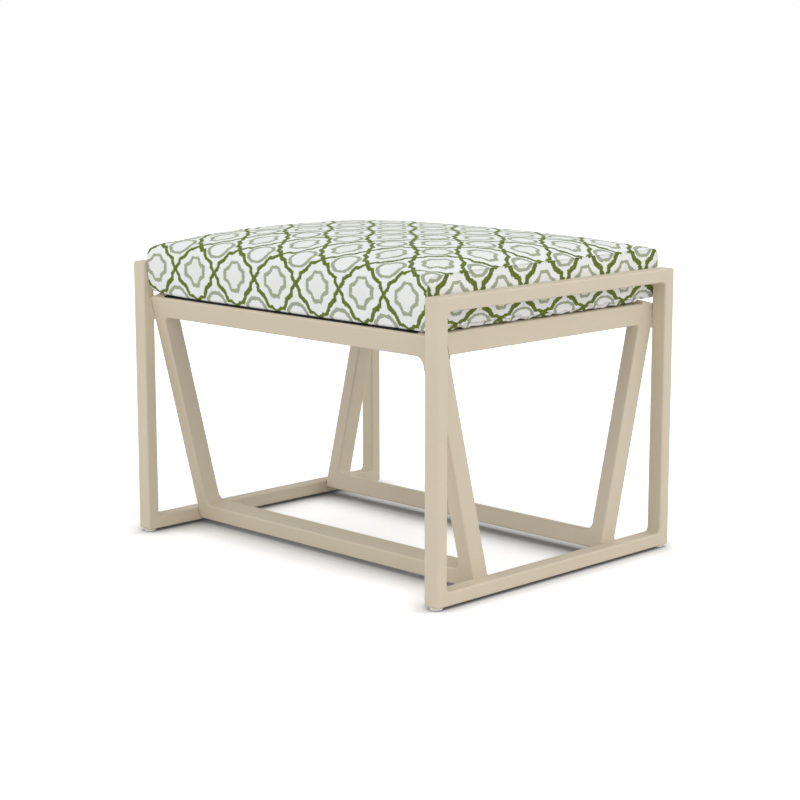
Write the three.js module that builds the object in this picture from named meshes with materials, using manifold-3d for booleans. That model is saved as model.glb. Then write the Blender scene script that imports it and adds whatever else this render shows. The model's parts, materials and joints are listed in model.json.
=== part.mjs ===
// An outdoor ottoman footstool: two upright side loops of aluminium tube, an inner base of two
// leaning loops joined by seat side rails, a black sling deck, and a loose crowned cushion with
// a zipped cover. Millimetres, +Z up. The origin is on the floor, midway between the glides.

import * as THREE from "three";
import { mergeVertices } from "three/addons/utils/BufferGeometryUtils.js";
import Module from "manifold-3d";

const wasm = await Module();
wasm.setup();

// Clearances and helpers that every piece shares
const piece_gap = 0.3; // between two solids that touch or are welded on the real object
const cut_overrun = 5; // how far a cutting solid runs past what it cuts
const bevel_steps = 2;
const corner_steps = 3;

// Whole footstool
const overall_width = 648; // along X, over the side loops
const overall_depth = 504; // along Y, over the side loops
const glide_standoff = 4; // floor to the underside of the side loops

// Side loops: upright closed loops of rectangular tube
const loop_height = 420;
const loop_tube_width = 25; // along X
const loop_tube_depth = 20; // in the plane of the loop
const loop_tube_wall = 1.6;
const loop_edge_radius = 2.5;
const loop_outer_radius = 4;
const loop_inner_radius = 10;

// Glides: push-in plastic buttons under the lower corners of the side loops
const glide_head_radius = 9;
const glide_head_chamfer = 1.2;
const glide_stem_radius = 4;
const glide_stem_length = 12;
const glide_inset = 11; // from the loop's end to the glide's axis
const glide_sides = 16;

// Inner base: two leaning loops, wide apart at the seat and drawn in at the floor
const base_lean = THREE.MathUtils.degToRad(14);
const base_face_length = 374; // up the leaning outer face, from foot to rail top
const base_top_setback = 11; // top outer edge behind the side loops' outer face
const base_foot_lift = 3; // foot over the underside of the side loops
const base_tube_depth = 30; // square to the leaning face
const leg_width = 24; // along X
const top_rail_height = 32; // up the leaning face
const stretcher_height = 26; // up the leaning face
const base_tube_wall = 1.8;
const base_edge_radius = 2.5;
const base_outer_radius = 3;
const base_inner_radius = 12;

// Seat side rails: level tubes along Y between the two leaning loops
const side_rail_width = 24; // along X
const side_rail_height = 31;
const side_rail_rise = 2; // its top over the top outer edge of the leaning loops
const side_rail_fillet = 7.5;
const side_rail_edge_radius = 2;

// Sling deck: black mesh between the top rails, with a hem pocket on a rod inside each rail
const sling_thickness = 1.2;
const sling_width = 540; // along X
const spline_slot_width = 3.2;
const spline_slot_inset = 8; // from the rail's outer edge to the middle of the slot
const spline_rod_radius = 3;
const spline_rod_overhang = 5; // past each side of the sling
const pocket_steps = 16;

// Cushion: a crowned box cushion, 4 mm or less from the side loops
const cushion_side_clearance = 3; // end panel to side loop
const cushion_face_setback = 9; // front and back faces behind the side loops' outer faces
const cushion_edge_height = 72; // at the end seams
const cushion_crown = 28; // middle of the top over the end seams
const cushion_draw_in = 2.5; // front and back pulled in at mid-width
const cushion_corner_lift = 7; // lower corners off the deck
const cushion_plan_radius = 12; // upright corners
const cushion_top_radius = 14; // front and back edges of the top
const cushion_bottom_radius = 9;
const cover_thickness = 1.5;
const end_panel_bulge = 1.7;
const fibre_thickness = 8;
const layer_gap = 1; // between cover, fibre and foam
const fill_end_inset = 3; // fill stops short of the end panels
const crown_span_power = 3; // shape of the crown across X
const crown_depth_power = 2.8; // shape of the crown across Y
const crown_fullness = 0.62;
const corner_lift_power = 6; // how closely the lift keeps to the corners
const level_band_share = 0.125; // of the edge height, each side of its middle, left unbent

// Zip in the cover's back
const zip_end_setback = 60.8; // from the cover's end seam to the end of the zip
const zip_tape_height = 11.4;
const zip_tape_thickness = 0.8;
const zip_coil_height = 4;
const zip_coil_thickness = 1.6;
const zip_slot_margin = 2; // past each end of the zip
const slider_length = 9;
const slider_height = 8;
const slider_roof = 2.2; // thickness over the coil
const slider_park_inset = 27; // zip's end to the middle of the slider when it is closed
const bail_length = 6.2; // along X
const bail_rise = 3;
const bail_bar = 1.2;
const bail_width = 1.4; // along Z
const pull_length = 22;
const pull_width = 6;
const pull_thickness = 0.9;
const pull_eye_length = 4;
const pull_eye_width = 3;
const pull_strip = 1; // end strip under the bail

// Finishes
function finish(color, roughness, metalness = 0) {
  return new THREE.MeshStandardMaterial({ color, roughness, metalness });
}

const beige_coat = () => finish("#cfc5b1", 0.5, 0.1);
const black_mesh = () => finish("#17171a", 0.85);
const clear_plastic = () => finish("#e6e8e6", 0.3);
const printed_fabric = () => finish("#eef0ec", 0.9);
const yellow_foam = () => finish("#e8dfae", 0.95);
const white_fibre = () => finish("#f7f7f4", 1);
const zip_nylon = () => finish("#efefe9", 0.6);
const zip_metal = () => finish("#c9cbc9", 0.35, 0.8);

// A closed geometry as a solid, and a solid as a geometry
function toSolid(geometry) {
  const bare = geometry.clone();
  bare.deleteAttribute("normal");
  bare.deleteAttribute("uv");
  const merged = mergeVertices(bare);
  const vertProperties = new Float32Array(merged.attributes.position.array);
  const triVerts = new Uint32Array(merged.index.array);
  return new wasm.Manifold(new wasm.Mesh({ numProp: 3, vertProperties, triVerts }));
}

function toGeometry(solid) {
  const cut = solid.getMesh();
  const geometry = new THREE.BufferGeometry();
  geometry.setAttribute("position", new THREE.BufferAttribute(cut.vertProperties, 3));
  geometry.setIndex(new THREE.BufferAttribute(cut.triVerts, 1));
  return geometry;
}

function mesh(name, geometry, material) {
  const piece = new THREE.Mesh(geometry, material);
  piece.name = name;
  return piece;
}

// A rectangle from its lower left to its upper right corner, with round corners
function roundedRectangle(path, left, low, right, high, radius) {
  path.moveTo(left + radius, low);
  path.lineTo(right - radius, low);
  path.absarc(right - radius, low + radius, radius, -Math.PI / 2, 0);
  path.lineTo(right, high - radius);
  path.absarc(right - radius, high - radius, radius, 0, Math.PI / 2);
  path.lineTo(left + radius, high);
  path.absarc(left + radius, high - radius, radius, Math.PI / 2, Math.PI);
  path.lineTo(left, low + radius);
  path.absarc(left + radius, low + radius, radius, Math.PI, 1.5 * Math.PI);
  return path;
}

// An extrusion from z = 0 to depth with its long edges rounded, the outline kept at its size
function roundedExtrusion(shape, depth, radius) {
  return new THREE.ExtrudeGeometry(shape, {
    depth: depth - 2 * radius,
    bevelThickness: radius,
    bevelSize: radius,
    bevelOffset: -radius,
    bevelSegments: bevel_steps,
    curveSegments: corner_steps,
    steps: 1,
  }).translate(0, 0, radius);
}

function plainExtrusion(shape, depth, start = 0) {
  const options = { depth, bevelEnabled: false, curveSegments: corner_steps, steps: 1 };
  return new THREE.ExtrudeGeometry(shape, options).translate(0, 0, start);
}

// A closed loop of hollow tube, lying in its own XY plane: x is centred, y starts at the foot,
// and z runs through the tube. It is cut on its mitres into four tubes.
function tubeLoop(loop) {
  const half = loop.width / 2;
  const outline = roundedRectangle(new THREE.Shape(), -half, 0, half, loop.height, loop.outerRadius);
  const inner = [-half + loop.side, loop.bottom, half - loop.side, loop.height - loop.top];
  outline.holes.push(roundedRectangle(new THREE.Path(), ...inner, loop.innerRadius));
  const skin = toSolid(roundedExtrusion(outline, loop.depth, loop.edgeRadius));

  const wall = loop.wall;
  const corner = loop.outerRadius - wall;
  const bore = [wall - half, wall, half - wall, loop.height - wall];
  const hollow = roundedRectangle(new THREE.Shape(), ...bore, corner);
  const core = [inner[0] - wall, inner[1] - wall, inner[2] + wall, inner[3] + wall];
  hollow.holes.push(roundedRectangle(new THREE.Path(), ...core, loop.innerRadius + wall));
  let tube = skin.subtract(toSolid(plainExtrusion(hollow, loop.depth - 2 * wall, wall)));
  for (const cut of loop.cuts ?? []) {
    tube = tube.subtract(cut);
  }

  const outer = [[-half, 0], [half, 0], [half, loop.height], [-half, loop.height]];
  const [left, low, right, high] = inner;
  const opening = [[left, low], [right, low], [right, high], [left, high]];
  const members = ["bottom", "right", "top", "left"];
  return Object.fromEntries(members.map((member, side) => {
    const next = (side + 1) % members.length;
    const reach = loop.innerRadius + cut_overrun;
    const wedge = mitreWedge([outer[side], opening[side]], [outer[next], opening[next]], reach);
    const block = plainExtrusion(wedge, loop.depth + 2 * cut_overrun, -cut_overrun);
    return [member, toGeometry(tube.intersect(toSolid(block)))];
  }));
}

// The outline between two mitre lines, each from an outer corner to an inner one, drawn back
// from both by half the gap
function mitreWedge(firstMitre, secondMitre, reach) {
  const ends = [firstMitre, secondMitre].map(([outer, inner], index) => {
    const start = new THREE.Vector2(...outer);
    const along = new THREE.Vector2(...inner).sub(start);
    const length = along.length();
    along.normalize();
    const inward = new THREE.Vector2(along.y, -along.x).multiplyScalar(index === 0 ? 1 : -1);
    const shifted = start.clone().addScaledVector(inward, piece_gap / 2);
    return [-cut_overrun, length + reach].map((step) => shifted.clone().addScaledVector(along, step));
  });
  return new THREE.Shape([ends[0][0], ends[1][0], ends[1][1], ends[0][1]]);
}

// Side loops. In a loop's own axes x runs along the depth, y up and z across the tube.
function sideLoopTubes() {
  const hole_radius = glide_stem_radius + piece_gap;
  const hole_length = loop_tube_wall + 2 * cut_overrun;
  const glide_offset = overall_depth / 2 - glide_inset;
  const cuts = [-glide_offset, glide_offset].map((offset) => {
    const drill = new THREE.CylinderGeometry(hole_radius, hole_radius, hole_length, glide_sides);
    return toSolid(drill.translate(offset, loop_tube_wall - hole_length / 2, loop_tube_width / 2));
  });
  return tubeLoop({
    width: overall_depth,
    height: loop_height,
    side: loop_tube_depth,
    top: loop_tube_depth,
    bottom: loop_tube_depth,
    depth: loop_tube_width,
    wall: loop_tube_wall,
    edgeRadius: loop_edge_radius,
    outerRadius: loop_outer_radius,
    innerRadius: loop_inner_radius,
    cuts,
  });
}

function glide() {
  const rim = glide_head_radius - glide_head_chamfer;
  const profile = [
    [0, -glide_standoff],
    [rim, -glide_standoff],
    [glide_head_radius, glide_head_chamfer - glide_standoff],
    [glide_head_radius, 0],
    [glide_stem_radius, 0],
    [glide_stem_radius, glide_stem_length],
    [0, glide_stem_length],
  ];
  return new THREE.LatheGeometry(profile.map(([r, y]) => new THREE.Vector2(r, y)), glide_sides);
}

// A group whose x runs along the object's Y, y up along Z and z across along X
function acrossGroup() {
  const group = new THREE.Group();
  const x = new THREE.Vector3(0, 1, 0);
  const y = new THREE.Vector3(0, 0, 1);
  const z = new THREE.Vector3(1, 0, 0);
  group.setRotationFromMatrix(new THREE.Matrix4().makeBasis(x, y, z));
  return group;
}

// One side of the footstool. The left one is the right one turned half round, so its ends swap.
function sideLoop(side, tubes) {
  const [near, far] = side === "right" ? ["front", "back"] : ["back", "front"];
  const loop = acrossGroup();
  loop.position.set(overall_width / 2 - loop_tube_width, 0, glide_standoff);
  loop.add(
    mesh(`${side}_loop_${near}_post`, tubes.left, beige_coat()),
    mesh(`${side}_loop_${far}_post`, tubes.right, beige_coat()),
    mesh(`${side}_loop_top_rail`, tubes.top, beige_coat()),
    mesh(`${side}_loop_bottom_rail`, tubes.bottom, beige_coat()),
  );
  const glide_offset = overall_depth / 2 - glide_inset;
  for (const [end, sign] of [[near, -1], [far, 1]]) {
    const foot = mesh(`${side}_${end}_glide`, glide(), clear_plastic());
    foot.position.set(sign * glide_offset, 0, loop_tube_width / 2);
    loop.add(foot);
  }
  const turned = new THREE.Group();
  turned.rotation.z = side === "right" ? 0 : Math.PI;
  turned.add(loop);
  return turned;
}

// Inner base. A leaning loop's own axes: x across, y up the outer face, z inward.
const lean_sine = Math.sin(base_lean);
const lean_cosine = Math.cos(base_lean);
const base_half_width = overall_width / 2 - loop_tube_width - piece_gap;
const base_foot_z = glide_standoff + base_foot_lift;
const base_top_y = overall_depth / 2 - base_top_setback;
const base_top_z = base_foot_z + base_face_length * lean_cosine;
const sling_half_width = sling_width / 2;
const rod_half_length = sling_half_width + spline_rod_overhang;

function leaningLoopTubes() {
  const slot_length = 2 * (sling_half_width + piece_gap);
  const slot_height = base_tube_wall + cut_overrun;
  const slot = new THREE.BoxGeometry(slot_length, slot_height, spline_slot_width);
  slot.translate(0, base_face_length - base_tube_wall + slot_height / 2 - piece_gap, spline_slot_inset);
  return tubeLoop({
    width: 2 * base_half_width,
    height: base_face_length,
    side: leg_width,
    top: top_rail_height,
    bottom: stretcher_height,
    depth: base_tube_depth,
    wall: base_tube_wall,
    edgeRadius: base_edge_radius,
    outerRadius: base_outer_radius,
    innerRadius: base_inner_radius,
    cuts: [toSolid(slot)],
  });
}

function leaningLoop(end, tubes) {
  const [first, second] = end === "back" ? ["left", "right"] : ["right", "left"];
  const loop = new THREE.Group();
  loop.rotation.x = Math.PI / 2 - base_lean;
  loop.position.set(0, base_top_y - base_face_length * lean_sine, base_foot_z);
  loop.add(
    mesh(`${end}_${first}_leg`, tubes.left, beige_coat()),
    mesh(`${end}_${second}_leg`, tubes.right, beige_coat()),
    mesh(`${end}_seat_rail`, tubes.top, beige_coat()),
    mesh(`${end}_floor_stretcher`, tubes.bottom, beige_coat()),
  );
  const turned = new THREE.Group();
  turned.rotation.z = end === "back" ? 0 : Math.PI;
  turned.add(loop);
  return turned;
}

// Seat side rail: a level tube whose ends meet the leaning loops' inner faces, with a small
// weld fillet running down each of them
function sideRailGeometry() {
  const reachAt = (z) => base_top_y - (base_top_z - z) * Math.tan(base_lean)
    - base_tube_depth / lean_cosine - piece_gap;
  const high = base_top_z + side_rail_rise;
  const low = high - side_rail_height;
  const back_end = [[reachAt(low), low], [reachAt(high), high]];
  const front_end = [[-reachAt(high), high], [-reachAt(low), low]];
  const ends = [...front_end, ...back_end];
  const outline = new THREE.Shape(ends.map((point) => new THREE.Vector2(...point)));
  let rail = toSolid(roundedExtrusion(outline, side_rail_width, side_rail_edge_radius));
  const hollow_length = 2 * (reachAt(high) + cut_overrun);
  const hollow_height = side_rail_height - 2 * base_tube_wall;
  const hollow_width = side_rail_width - 2 * base_tube_wall;
  const hollow = new THREE.BoxGeometry(hollow_length, hollow_height, hollow_width);
  hollow.translate(0, low + side_rail_height / 2, side_rail_width / 2);
  rail = rail.subtract(toSolid(hollow));

  const root = low + base_tube_wall / 2;
  const tip_y = reachAt(low) - side_rail_fillet * lean_sine;
  const tip_z = low - side_rail_fillet * lean_cosine;
  for (const sign of [-1, 1]) {
    const fillet = new THREE.Shape();
    fillet.moveTo(sign * reachAt(root), root);
    fillet.lineTo(sign * tip_y, tip_z);
    fillet.lineTo(sign * (tip_y - piece_gap), tip_z);
    const foot = reachAt(low) - side_rail_fillet;
    const bend = reachAt(low) - piece_gap;
    fillet.quadraticCurveTo(sign * bend, low - piece_gap, sign * foot, low - piece_gap);
    fillet.lineTo(sign * foot, root);
    const width = side_rail_width - 2 * side_rail_edge_radius;
    rail = rail.add(toSolid(plainExtrusion(fillet, width, side_rail_edge_radius)));
  }
  return toGeometry(rail);
}

function seatSideRail(side, geometry) {
  const rail = acrossGroup();
  rail.position.x = base_half_width - side_rail_width;
  rail.add(mesh(`${side}_seat_rail`, geometry, beige_coat()));
  const turned = new THREE.Group();
  turned.rotation.z = side === "right" ? 0 : Math.PI;
  turned.add(rail);
  return turned;
}

// A point on the back rail's section, in object Y and Z: inward from the top outer edge along
// the rail's top face, and out of that face. The front rail mirrors it.
function onBackRail(inward, out) {
  const y = base_top_y - inward * lean_cosine + out * lean_sine;
  const z = base_top_z + inward * lean_sine + out * lean_cosine;
  return new THREE.Vector2(y, z);
}

const pocket_inner_radius = spline_rod_radius + piece_gap;
const pocket_outer_radius = pocket_inner_radius + sling_thickness;
const pocket_out = -(base_tube_wall + piece_gap + pocket_outer_radius);
const deck_under_z = base_top_z + base_tube_depth * lean_sine + piece_gap;
const deck_top_z = deck_under_z + sling_thickness;

// How far inward the face at a height out of the rail's top meets the level deck
function deckBend(out) {
  return base_tube_depth + out * (1 - lean_cosine) / lean_sine;
}

function slingDeck() {
  const neck = sling_thickness;
  const neck_angle = Math.asin(neck / pocket_outer_radius);
  const sweep = 2 * (Math.PI - neck_angle);
  const edge = [];
  const top_out = piece_gap + sling_thickness;
  edge.push(onBackRail(deckBend(piece_gap), piece_gap));
  edge.push(onBackRail(spline_slot_inset + neck, piece_gap));
  for (let step = 0; step <= pocket_steps; step += 1) {
    const angle = neck_angle + sweep * step / pocket_steps;
    const inward = spline_slot_inset + pocket_outer_radius * Math.sin(angle);
    edge.push(onBackRail(inward, pocket_out + pocket_outer_radius * Math.cos(angle)));
  }
  edge.push(onBackRail(spline_slot_inset - neck, top_out));
  edge.push(onBackRail(deckBend(top_out), top_out));
  const mirrored = edge.map((point) => new THREE.Vector2(-point.x, point.y)).reverse();
  const shape = new THREE.Shape([...edge, ...mirrored]);
  for (const sign of [-1, 1]) {
    const ring = [];
    for (let step = 0; step < pocket_steps; step += 1) {
      const angle = 2 * Math.PI * step / pocket_steps;
      const inward = spline_slot_inset + pocket_inner_radius * Math.sin(angle);
      const point = onBackRail(inward, pocket_out + pocket_inner_radius * Math.cos(angle));
      ring.push(new THREE.Vector2(sign * point.x, point.y));
    }
    shape.holes.push(new THREE.Path(ring));
  }
  const deck = acrossGroup();
  deck.add(mesh("sling_deck", plainExtrusion(shape, sling_width, -sling_half_width), black_mesh()));
  return deck;
}

function splineRod(end) {
  const radius = spline_rod_radius;
  const geometry = new THREE.CylinderGeometry(radius, radius, 2 * rod_half_length, pocket_steps);
  const rod = mesh(`${end}_spline_rod`, geometry, black_mesh());
  const centre = onBackRail(spline_slot_inset, pocket_out);
  rod.rotation.z = Math.PI / 2;
  rod.position.set(0, end === "back" ? centre.x : -centre.x, centre.y);
  return rod;
}

// Cushion. Every layer is a box bent by the same crown, draw-in and corner lift, so that the
// layers stay nested.
const cushion_bottom = deck_top_z + piece_gap;
const cushion_seam_z = cushion_bottom + cushion_edge_height;
const cushion_half_width = overall_width / 2 - loop_tube_width - cushion_side_clearance;
const cushion_half_depth = overall_depth / 2 - cushion_face_setback;
const seam_half_width = cushion_half_width - cover_thickness - end_panel_bulge;
const cushion_middle_z = (cushion_bottom + cushion_seam_z) / 2;
const level_band = level_band_share * cushion_edge_height;
const crown_start_z = cushion_middle_z + level_band;
const crown_full_z = cushion_seam_z - fibre_thickness - 2 * layer_gap - 2 * cover_thickness;
const lift_full_z = cushion_bottom + fibre_thickness + 2 * layer_gap + 2 * cover_thickness;
const lift_end_z = cushion_middle_z - level_band;

// The crown fades from its middle to its edge, straight between the sections' own points, so
// that one layer's facets never cut another's
function fadeAt(share, stations, power) {
  const found = stations.findIndex((station) => station >= Math.min(share, 1));
  const upper = Math.max(1, found);
  const [near, far] = [stations[upper - 1], stations[upper]];
  const [high, low] = [near, far].map((station) => (1 - station ** power) ** crown_fullness);
  return THREE.MathUtils.mapLinear(Math.min(share, 1), near, far, high, low);
}

const crown_span_shares = [0, 0.3, 0.6, 0.8, 0.92, 0.975, 1];
const mirrored = (shares) => shares.map((share) => -share).reverse();
const span_shares = [...mirrored(crown_span_shares.slice(1)), ...crown_span_shares];
const flat_shares = [0.16, 0.48, 0.76, 0.92, 1];
const wide_shares = [...mirrored(flat_shares), ...flat_shares];
const flat_half_depth = cushion_half_depth - cushion_top_radius;
const flat_depth_share = flat_half_depth / cushion_half_depth;
const crown_depth_shares = [0, ...flat_shares.map((share) => share * flat_depth_share), 1];

function crownAt(x, y) {
  const across = fadeAt(Math.abs(x) / seam_half_width, crown_span_shares, crown_span_power);
  const along = fadeAt(Math.abs(y) / cushion_half_depth, crown_depth_shares, crown_depth_power);
  return cushion_crown * across * along;
}

function liftAt(x, y) {
  const across = Math.min(1, Math.abs(x) / seam_half_width) ** corner_lift_power;
  const along = Math.min(1, Math.abs(y) / cushion_half_depth) ** corner_lift_power;
  return cushion_corner_lift * across * along;
}

// Where a point of the plain box goes on the shaped cushion
function shaped(x, y, z) {
  const draw = cushion_draw_in * (1 - (x / seam_half_width) ** 2) * y / cushion_half_depth;
  const past = Math.max(0, Math.abs(x) - (cushion_half_width - cushion_plan_radius));
  const corner = cushion_plan_radius - Math.sqrt(cushion_plan_radius ** 2 - past ** 2);
  const side = y - draw - corner * y / cushion_half_depth;
  const rise = THREE.MathUtils.clamp((z - crown_start_z) / (crown_full_z - crown_start_z), 0, 1);
  const sink = THREE.MathUtils.clamp((lift_end_z - z) / (lift_end_z - lift_full_z), 0, 1);
  return [x, side, z + rise * crownAt(x, y) + sink * liftAt(x, y)];
}

// One plain section of a layer, seen along X: a rounded box outline, counter-clockwise
const side_shares = [0, 0.5, 1];
const arc_shares = [0.25, 0.5, 0.75];

function layerSection(layer) {
  const { half, low, high, lowRadius, highRadius } = layer;
  const points = [];
  const runFlat = (reach, z) => wide_shares.forEach((share) => points.push([share * reach, z]));
  const runSide = (y, from, to) => side_shares.forEach((share) => {
    points.push([y, THREE.MathUtils.lerp(from, to, share)]);
  });
  const turn = (centre, radius, start) => arc_shares.forEach((share) => {
    const angle = (start + share) * Math.PI / 2;
    points.push([centre[0] + radius * Math.cos(angle), centre[1] + radius * Math.sin(angle)]);
  });
  runFlat(half - lowRadius, low);
  turn([half - lowRadius, low + lowRadius], lowRadius, 3);
  runSide(half, low + lowRadius, high - highRadius);
  turn([half - highRadius, high - highRadius], highRadius, 0);
  runFlat(highRadius - half, high);
  turn([highRadius - half, high - highRadius], highRadius, 1);
  runSide(-half, high - highRadius, low + lowRadius);
  turn([lowRadius - half, low + lowRadius], lowRadius, 2);
  return points;
}

// Rows of shaped points along X
function layerRows(layer, shares = span_shares) {
  const section = layerSection(layer);
  return shares.map((share) => {
    const x = THREE.MathUtils.clamp(share * seam_half_width, -layer.halfWidth, layer.halfWidth);
    return section.map(([y, z]) => shaped(x, y, z));
  });
}

function skinFaces(rows, offset, outward) {
  const ring = rows[0].length;
  const faces = [];
  for (let row = 0; row + 1 < rows.length; row += 1) {
    for (let k = 0; k < ring; k += 1) {
      const a = offset + row * ring + k;
      const b = offset + row * ring + (k + 1) % ring;
      const quad = [a, b, b + ring, a + ring];
      faces.push(...splitQuad(outward ? quad : quad.reverse()));
    }
  }
  return faces;
}

function splitQuad([a, b, c, d]) {
  return [a, b, c, a, c, d];
}

function bandFaces(first, second, ring, reversed) {
  const faces = [];
  for (let k = 0; k < ring; k += 1) {
    const next = (k + 1) % ring;
    const quad = [first + k, first + next, second + next, second + k];
    faces.push(...splitQuad(reversed ? quad.reverse() : quad));
  }
  return faces;
}

function indexedGeometry(points, faces) {
  const geometry = new THREE.BufferGeometry();
  geometry.setAttribute("position", new THREE.Float32BufferAttribute(points.flat(), 3));
  geometry.setIndex(faces);
  return geometry;
}

// A ring of cloth open at both ends
function wrapGeometry() {
  const outer = layerRows(cover_layer);
  const inner = layerRows(lining_layer);
  const ring = outer[0].length;
  const count = outer.length * ring;
  const last = count - ring;
  const faces = [
    ...skinFaces(outer, 0, true),
    ...skinFaces(inner, count, false),
    ...bandFaces(0, count, ring, true),
    ...bandFaces(last, count + last, ring, false),
  ];
  return indexedGeometry([...outer.flat(), ...inner.flat()], faces);
}

// A filled layer, closed at each end by a fan
function fillGeometry(layer) {
  const rows = layerRows(layer);
  const ring = rows[0].length;
  const points = rows.flat();
  const faces = skinFaces(rows, 0, true);
  [0, rows.length - 1].forEach((row) => {
    const centre = points.length;
    const mean = [0, 1, 2].map((axis) => rows[row].reduce((sum, point) => sum + point[axis], 0) / ring);
    points.push(mean);
    for (let k = 0; k < ring; k += 1) {
      const pair = [row * ring + k, row * ring + (k + 1) % ring];
      faces.push(centre, ...(row === 0 ? pair.reverse() : pair));
    }
  });
  return indexedGeometry(points, faces);
}

// An end panel: a cloth plate with the cover's outline at the seam, bulging a little
const panel_ring_shares = [1, 0.75, 0.4];

function endPanelGeometry() {
  const section = layerRows(cover_layer, [1])[0];
  const ring = section.length;
  const seam_x = seam_half_width + piece_gap;
  const points = [];
  for (const thickness of [0, cover_thickness]) {
    for (const share of panel_ring_shares) {
      const bulge = (end_panel_bulge - piece_gap) * (1 - share ** 2);
      section.forEach(([, y, z]) => {
        const height = THREE.MathUtils.lerp(cushion_middle_z, z, share);
        points.push([seam_x + thickness + bulge, share * y, height]);
      });
    }
    points.push([seam_x + thickness + end_panel_bulge - piece_gap, 0, cushion_middle_z]);
  }
  const rings = panel_ring_shares.length;
  const side = rings * ring + 1;
  const faces = [];
  [0, 1].forEach((face) => {
    const start = face * side;
    for (let row = 0; row + 1 < rings; row += 1) {
      faces.push(...bandFaces(start + row * ring, start + (row + 1) * ring, ring, face === 0));
    }
    for (let k = 0; k < ring; k += 1) {
      const pair = [start + (rings - 1) * ring + k, start + (rings - 1) * ring + (k + 1) % ring];
      faces.push(start + side - 1, ...(face === 0 ? pair.reverse() : pair));
    }
  });
  faces.push(...bandFaces(0, side, ring, false));
  return indexedGeometry(points, faces);
}

const cover_layer = {
  halfWidth: seam_half_width,
  half: cushion_half_depth,
  low: cushion_bottom,
  high: cushion_seam_z,
  lowRadius: cushion_bottom_radius,
  highRadius: cushion_top_radius,
};

// The cover's inner side
const lining_layer = {
  halfWidth: seam_half_width,
  half: cushion_half_depth - cover_thickness,
  low: cushion_bottom + cover_thickness,
  high: cushion_seam_z - cover_thickness,
  lowRadius: cushion_bottom_radius - cover_thickness,
  highRadius: cushion_top_radius - cover_thickness,
};

// A fill layer between two heights, clear of the cover all round
function fillLayer(low, high, lowRadius, highRadius) {
  const inset = cover_thickness + 3 * layer_gap;
  return {
    halfWidth: seam_half_width - fill_end_inset,
    half: cushion_half_depth - inset - cover_thickness,
    low,
    high,
    lowRadius,
    highRadius,
  };
}

const fill_low = cushion_bottom + cover_thickness + layer_gap;
const fill_high = cushion_seam_z - cover_thickness - layer_gap;
const fibre_radius = (fibre_thickness - layer_gap) / 2;
const foam_edge_radius = cushion_bottom_radius;

// Zip: a straight tape with its coil, seated in a slot of the cover's back
const zip_length = 2 * (seam_half_width - zip_end_setback);
const slider_park = zip_length / 2 - slider_park_inset;
const zip_z = cushion_middle_z;
const zip_back_y = cushion_half_depth - cushion_draw_in - piece_gap;
const coil_front_y = zip_back_y + zip_coil_thickness;
const slider_seat_y = zip_back_y + piece_gap;
const slider_top_y = coil_front_y + piece_gap + slider_roof;
const half_slot = zip_length / 2 + zip_slot_margin;

function zipSlot() {
  const height = zip_tape_height + 2 * piece_gap;
  const depth = 2 * (cover_thickness + cut_overrun);
  const slot = new THREE.BoxGeometry(2 * half_slot, depth, height);
  return toSolid(slot.translate(0, cushion_half_depth, zip_z));
}

function zipChain() {
  const tape = zip_tape_height / 2;
  const coil = zip_coil_height / 2;
  const back = zip_back_y - zip_tape_thickness;
  const outline = [
    [back, -tape], [zip_back_y, -tape], [zip_back_y, -coil], [coil_front_y, -coil],
    [coil_front_y, coil], [zip_back_y, coil], [zip_back_y, tape], [back, tape],
  ];
  const shape = new THREE.Shape(outline.map(([y, z]) => new THREE.Vector2(y, zip_z + z)));
  const chain = acrossGroup();
  chain.add(mesh("zip_chain", plainExtrusion(shape, zip_length, -zip_length / 2), zip_nylon()));
  return chain;
}

// The slider rides over the coil; its bail is an arch along the zip
function zipSlider() {
  const half = slider_height / 2;
  const coil = zip_coil_height / 2 + piece_gap;
  const outline = [
    [slider_seat_y, -half], [slider_top_y, -half], [slider_top_y, half], [slider_seat_y, half],
    [slider_seat_y, coil], [coil_front_y + piece_gap, coil],
    [coil_front_y + piece_gap, -coil], [slider_seat_y, -coil],
  ];
  const saddle = new THREE.Shape(outline.map(([y, z]) => new THREE.Vector2(y, zip_z + z)));
  const body = plainExtrusion(saddle, slider_length, slider_park - slider_length / 2);
  const to_object = new THREE.Matrix4().makeBasis(
    new THREE.Vector3(0, 1, 0), new THREE.Vector3(0, 0, 1), new THREE.Vector3(1, 0, 0),
  );
  body.applyMatrix4(to_object);
  const outer = bail_length / 2;
  const inner = outer - bail_bar;
  const root = slider_top_y - slider_roof / 2;
  const crest = slider_top_y + bail_rise;
  const arch = new THREE.Shape([
    [-outer, root], [-inner, root], [-inner, crest - bail_bar], [inner, crest - bail_bar],
    [inner, root], [outer, root], [outer, crest], [-outer, crest],
  ].map(([x, y]) => new THREE.Vector2(slider_park + x, y)));
  const bail = plainExtrusion(arch, bail_width, zip_z - bail_width / 2);
  return mesh("zip_slider", toGeometry(toSolid(body).add(toSolid(bail))), zip_metal());
}

// The pull lies along the zip, its end strip under the bail and its eye round one bail leg
const pull_seat_y = slider_top_y + (bail_rise - bail_bar - pull_thickness) / 2;

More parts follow.
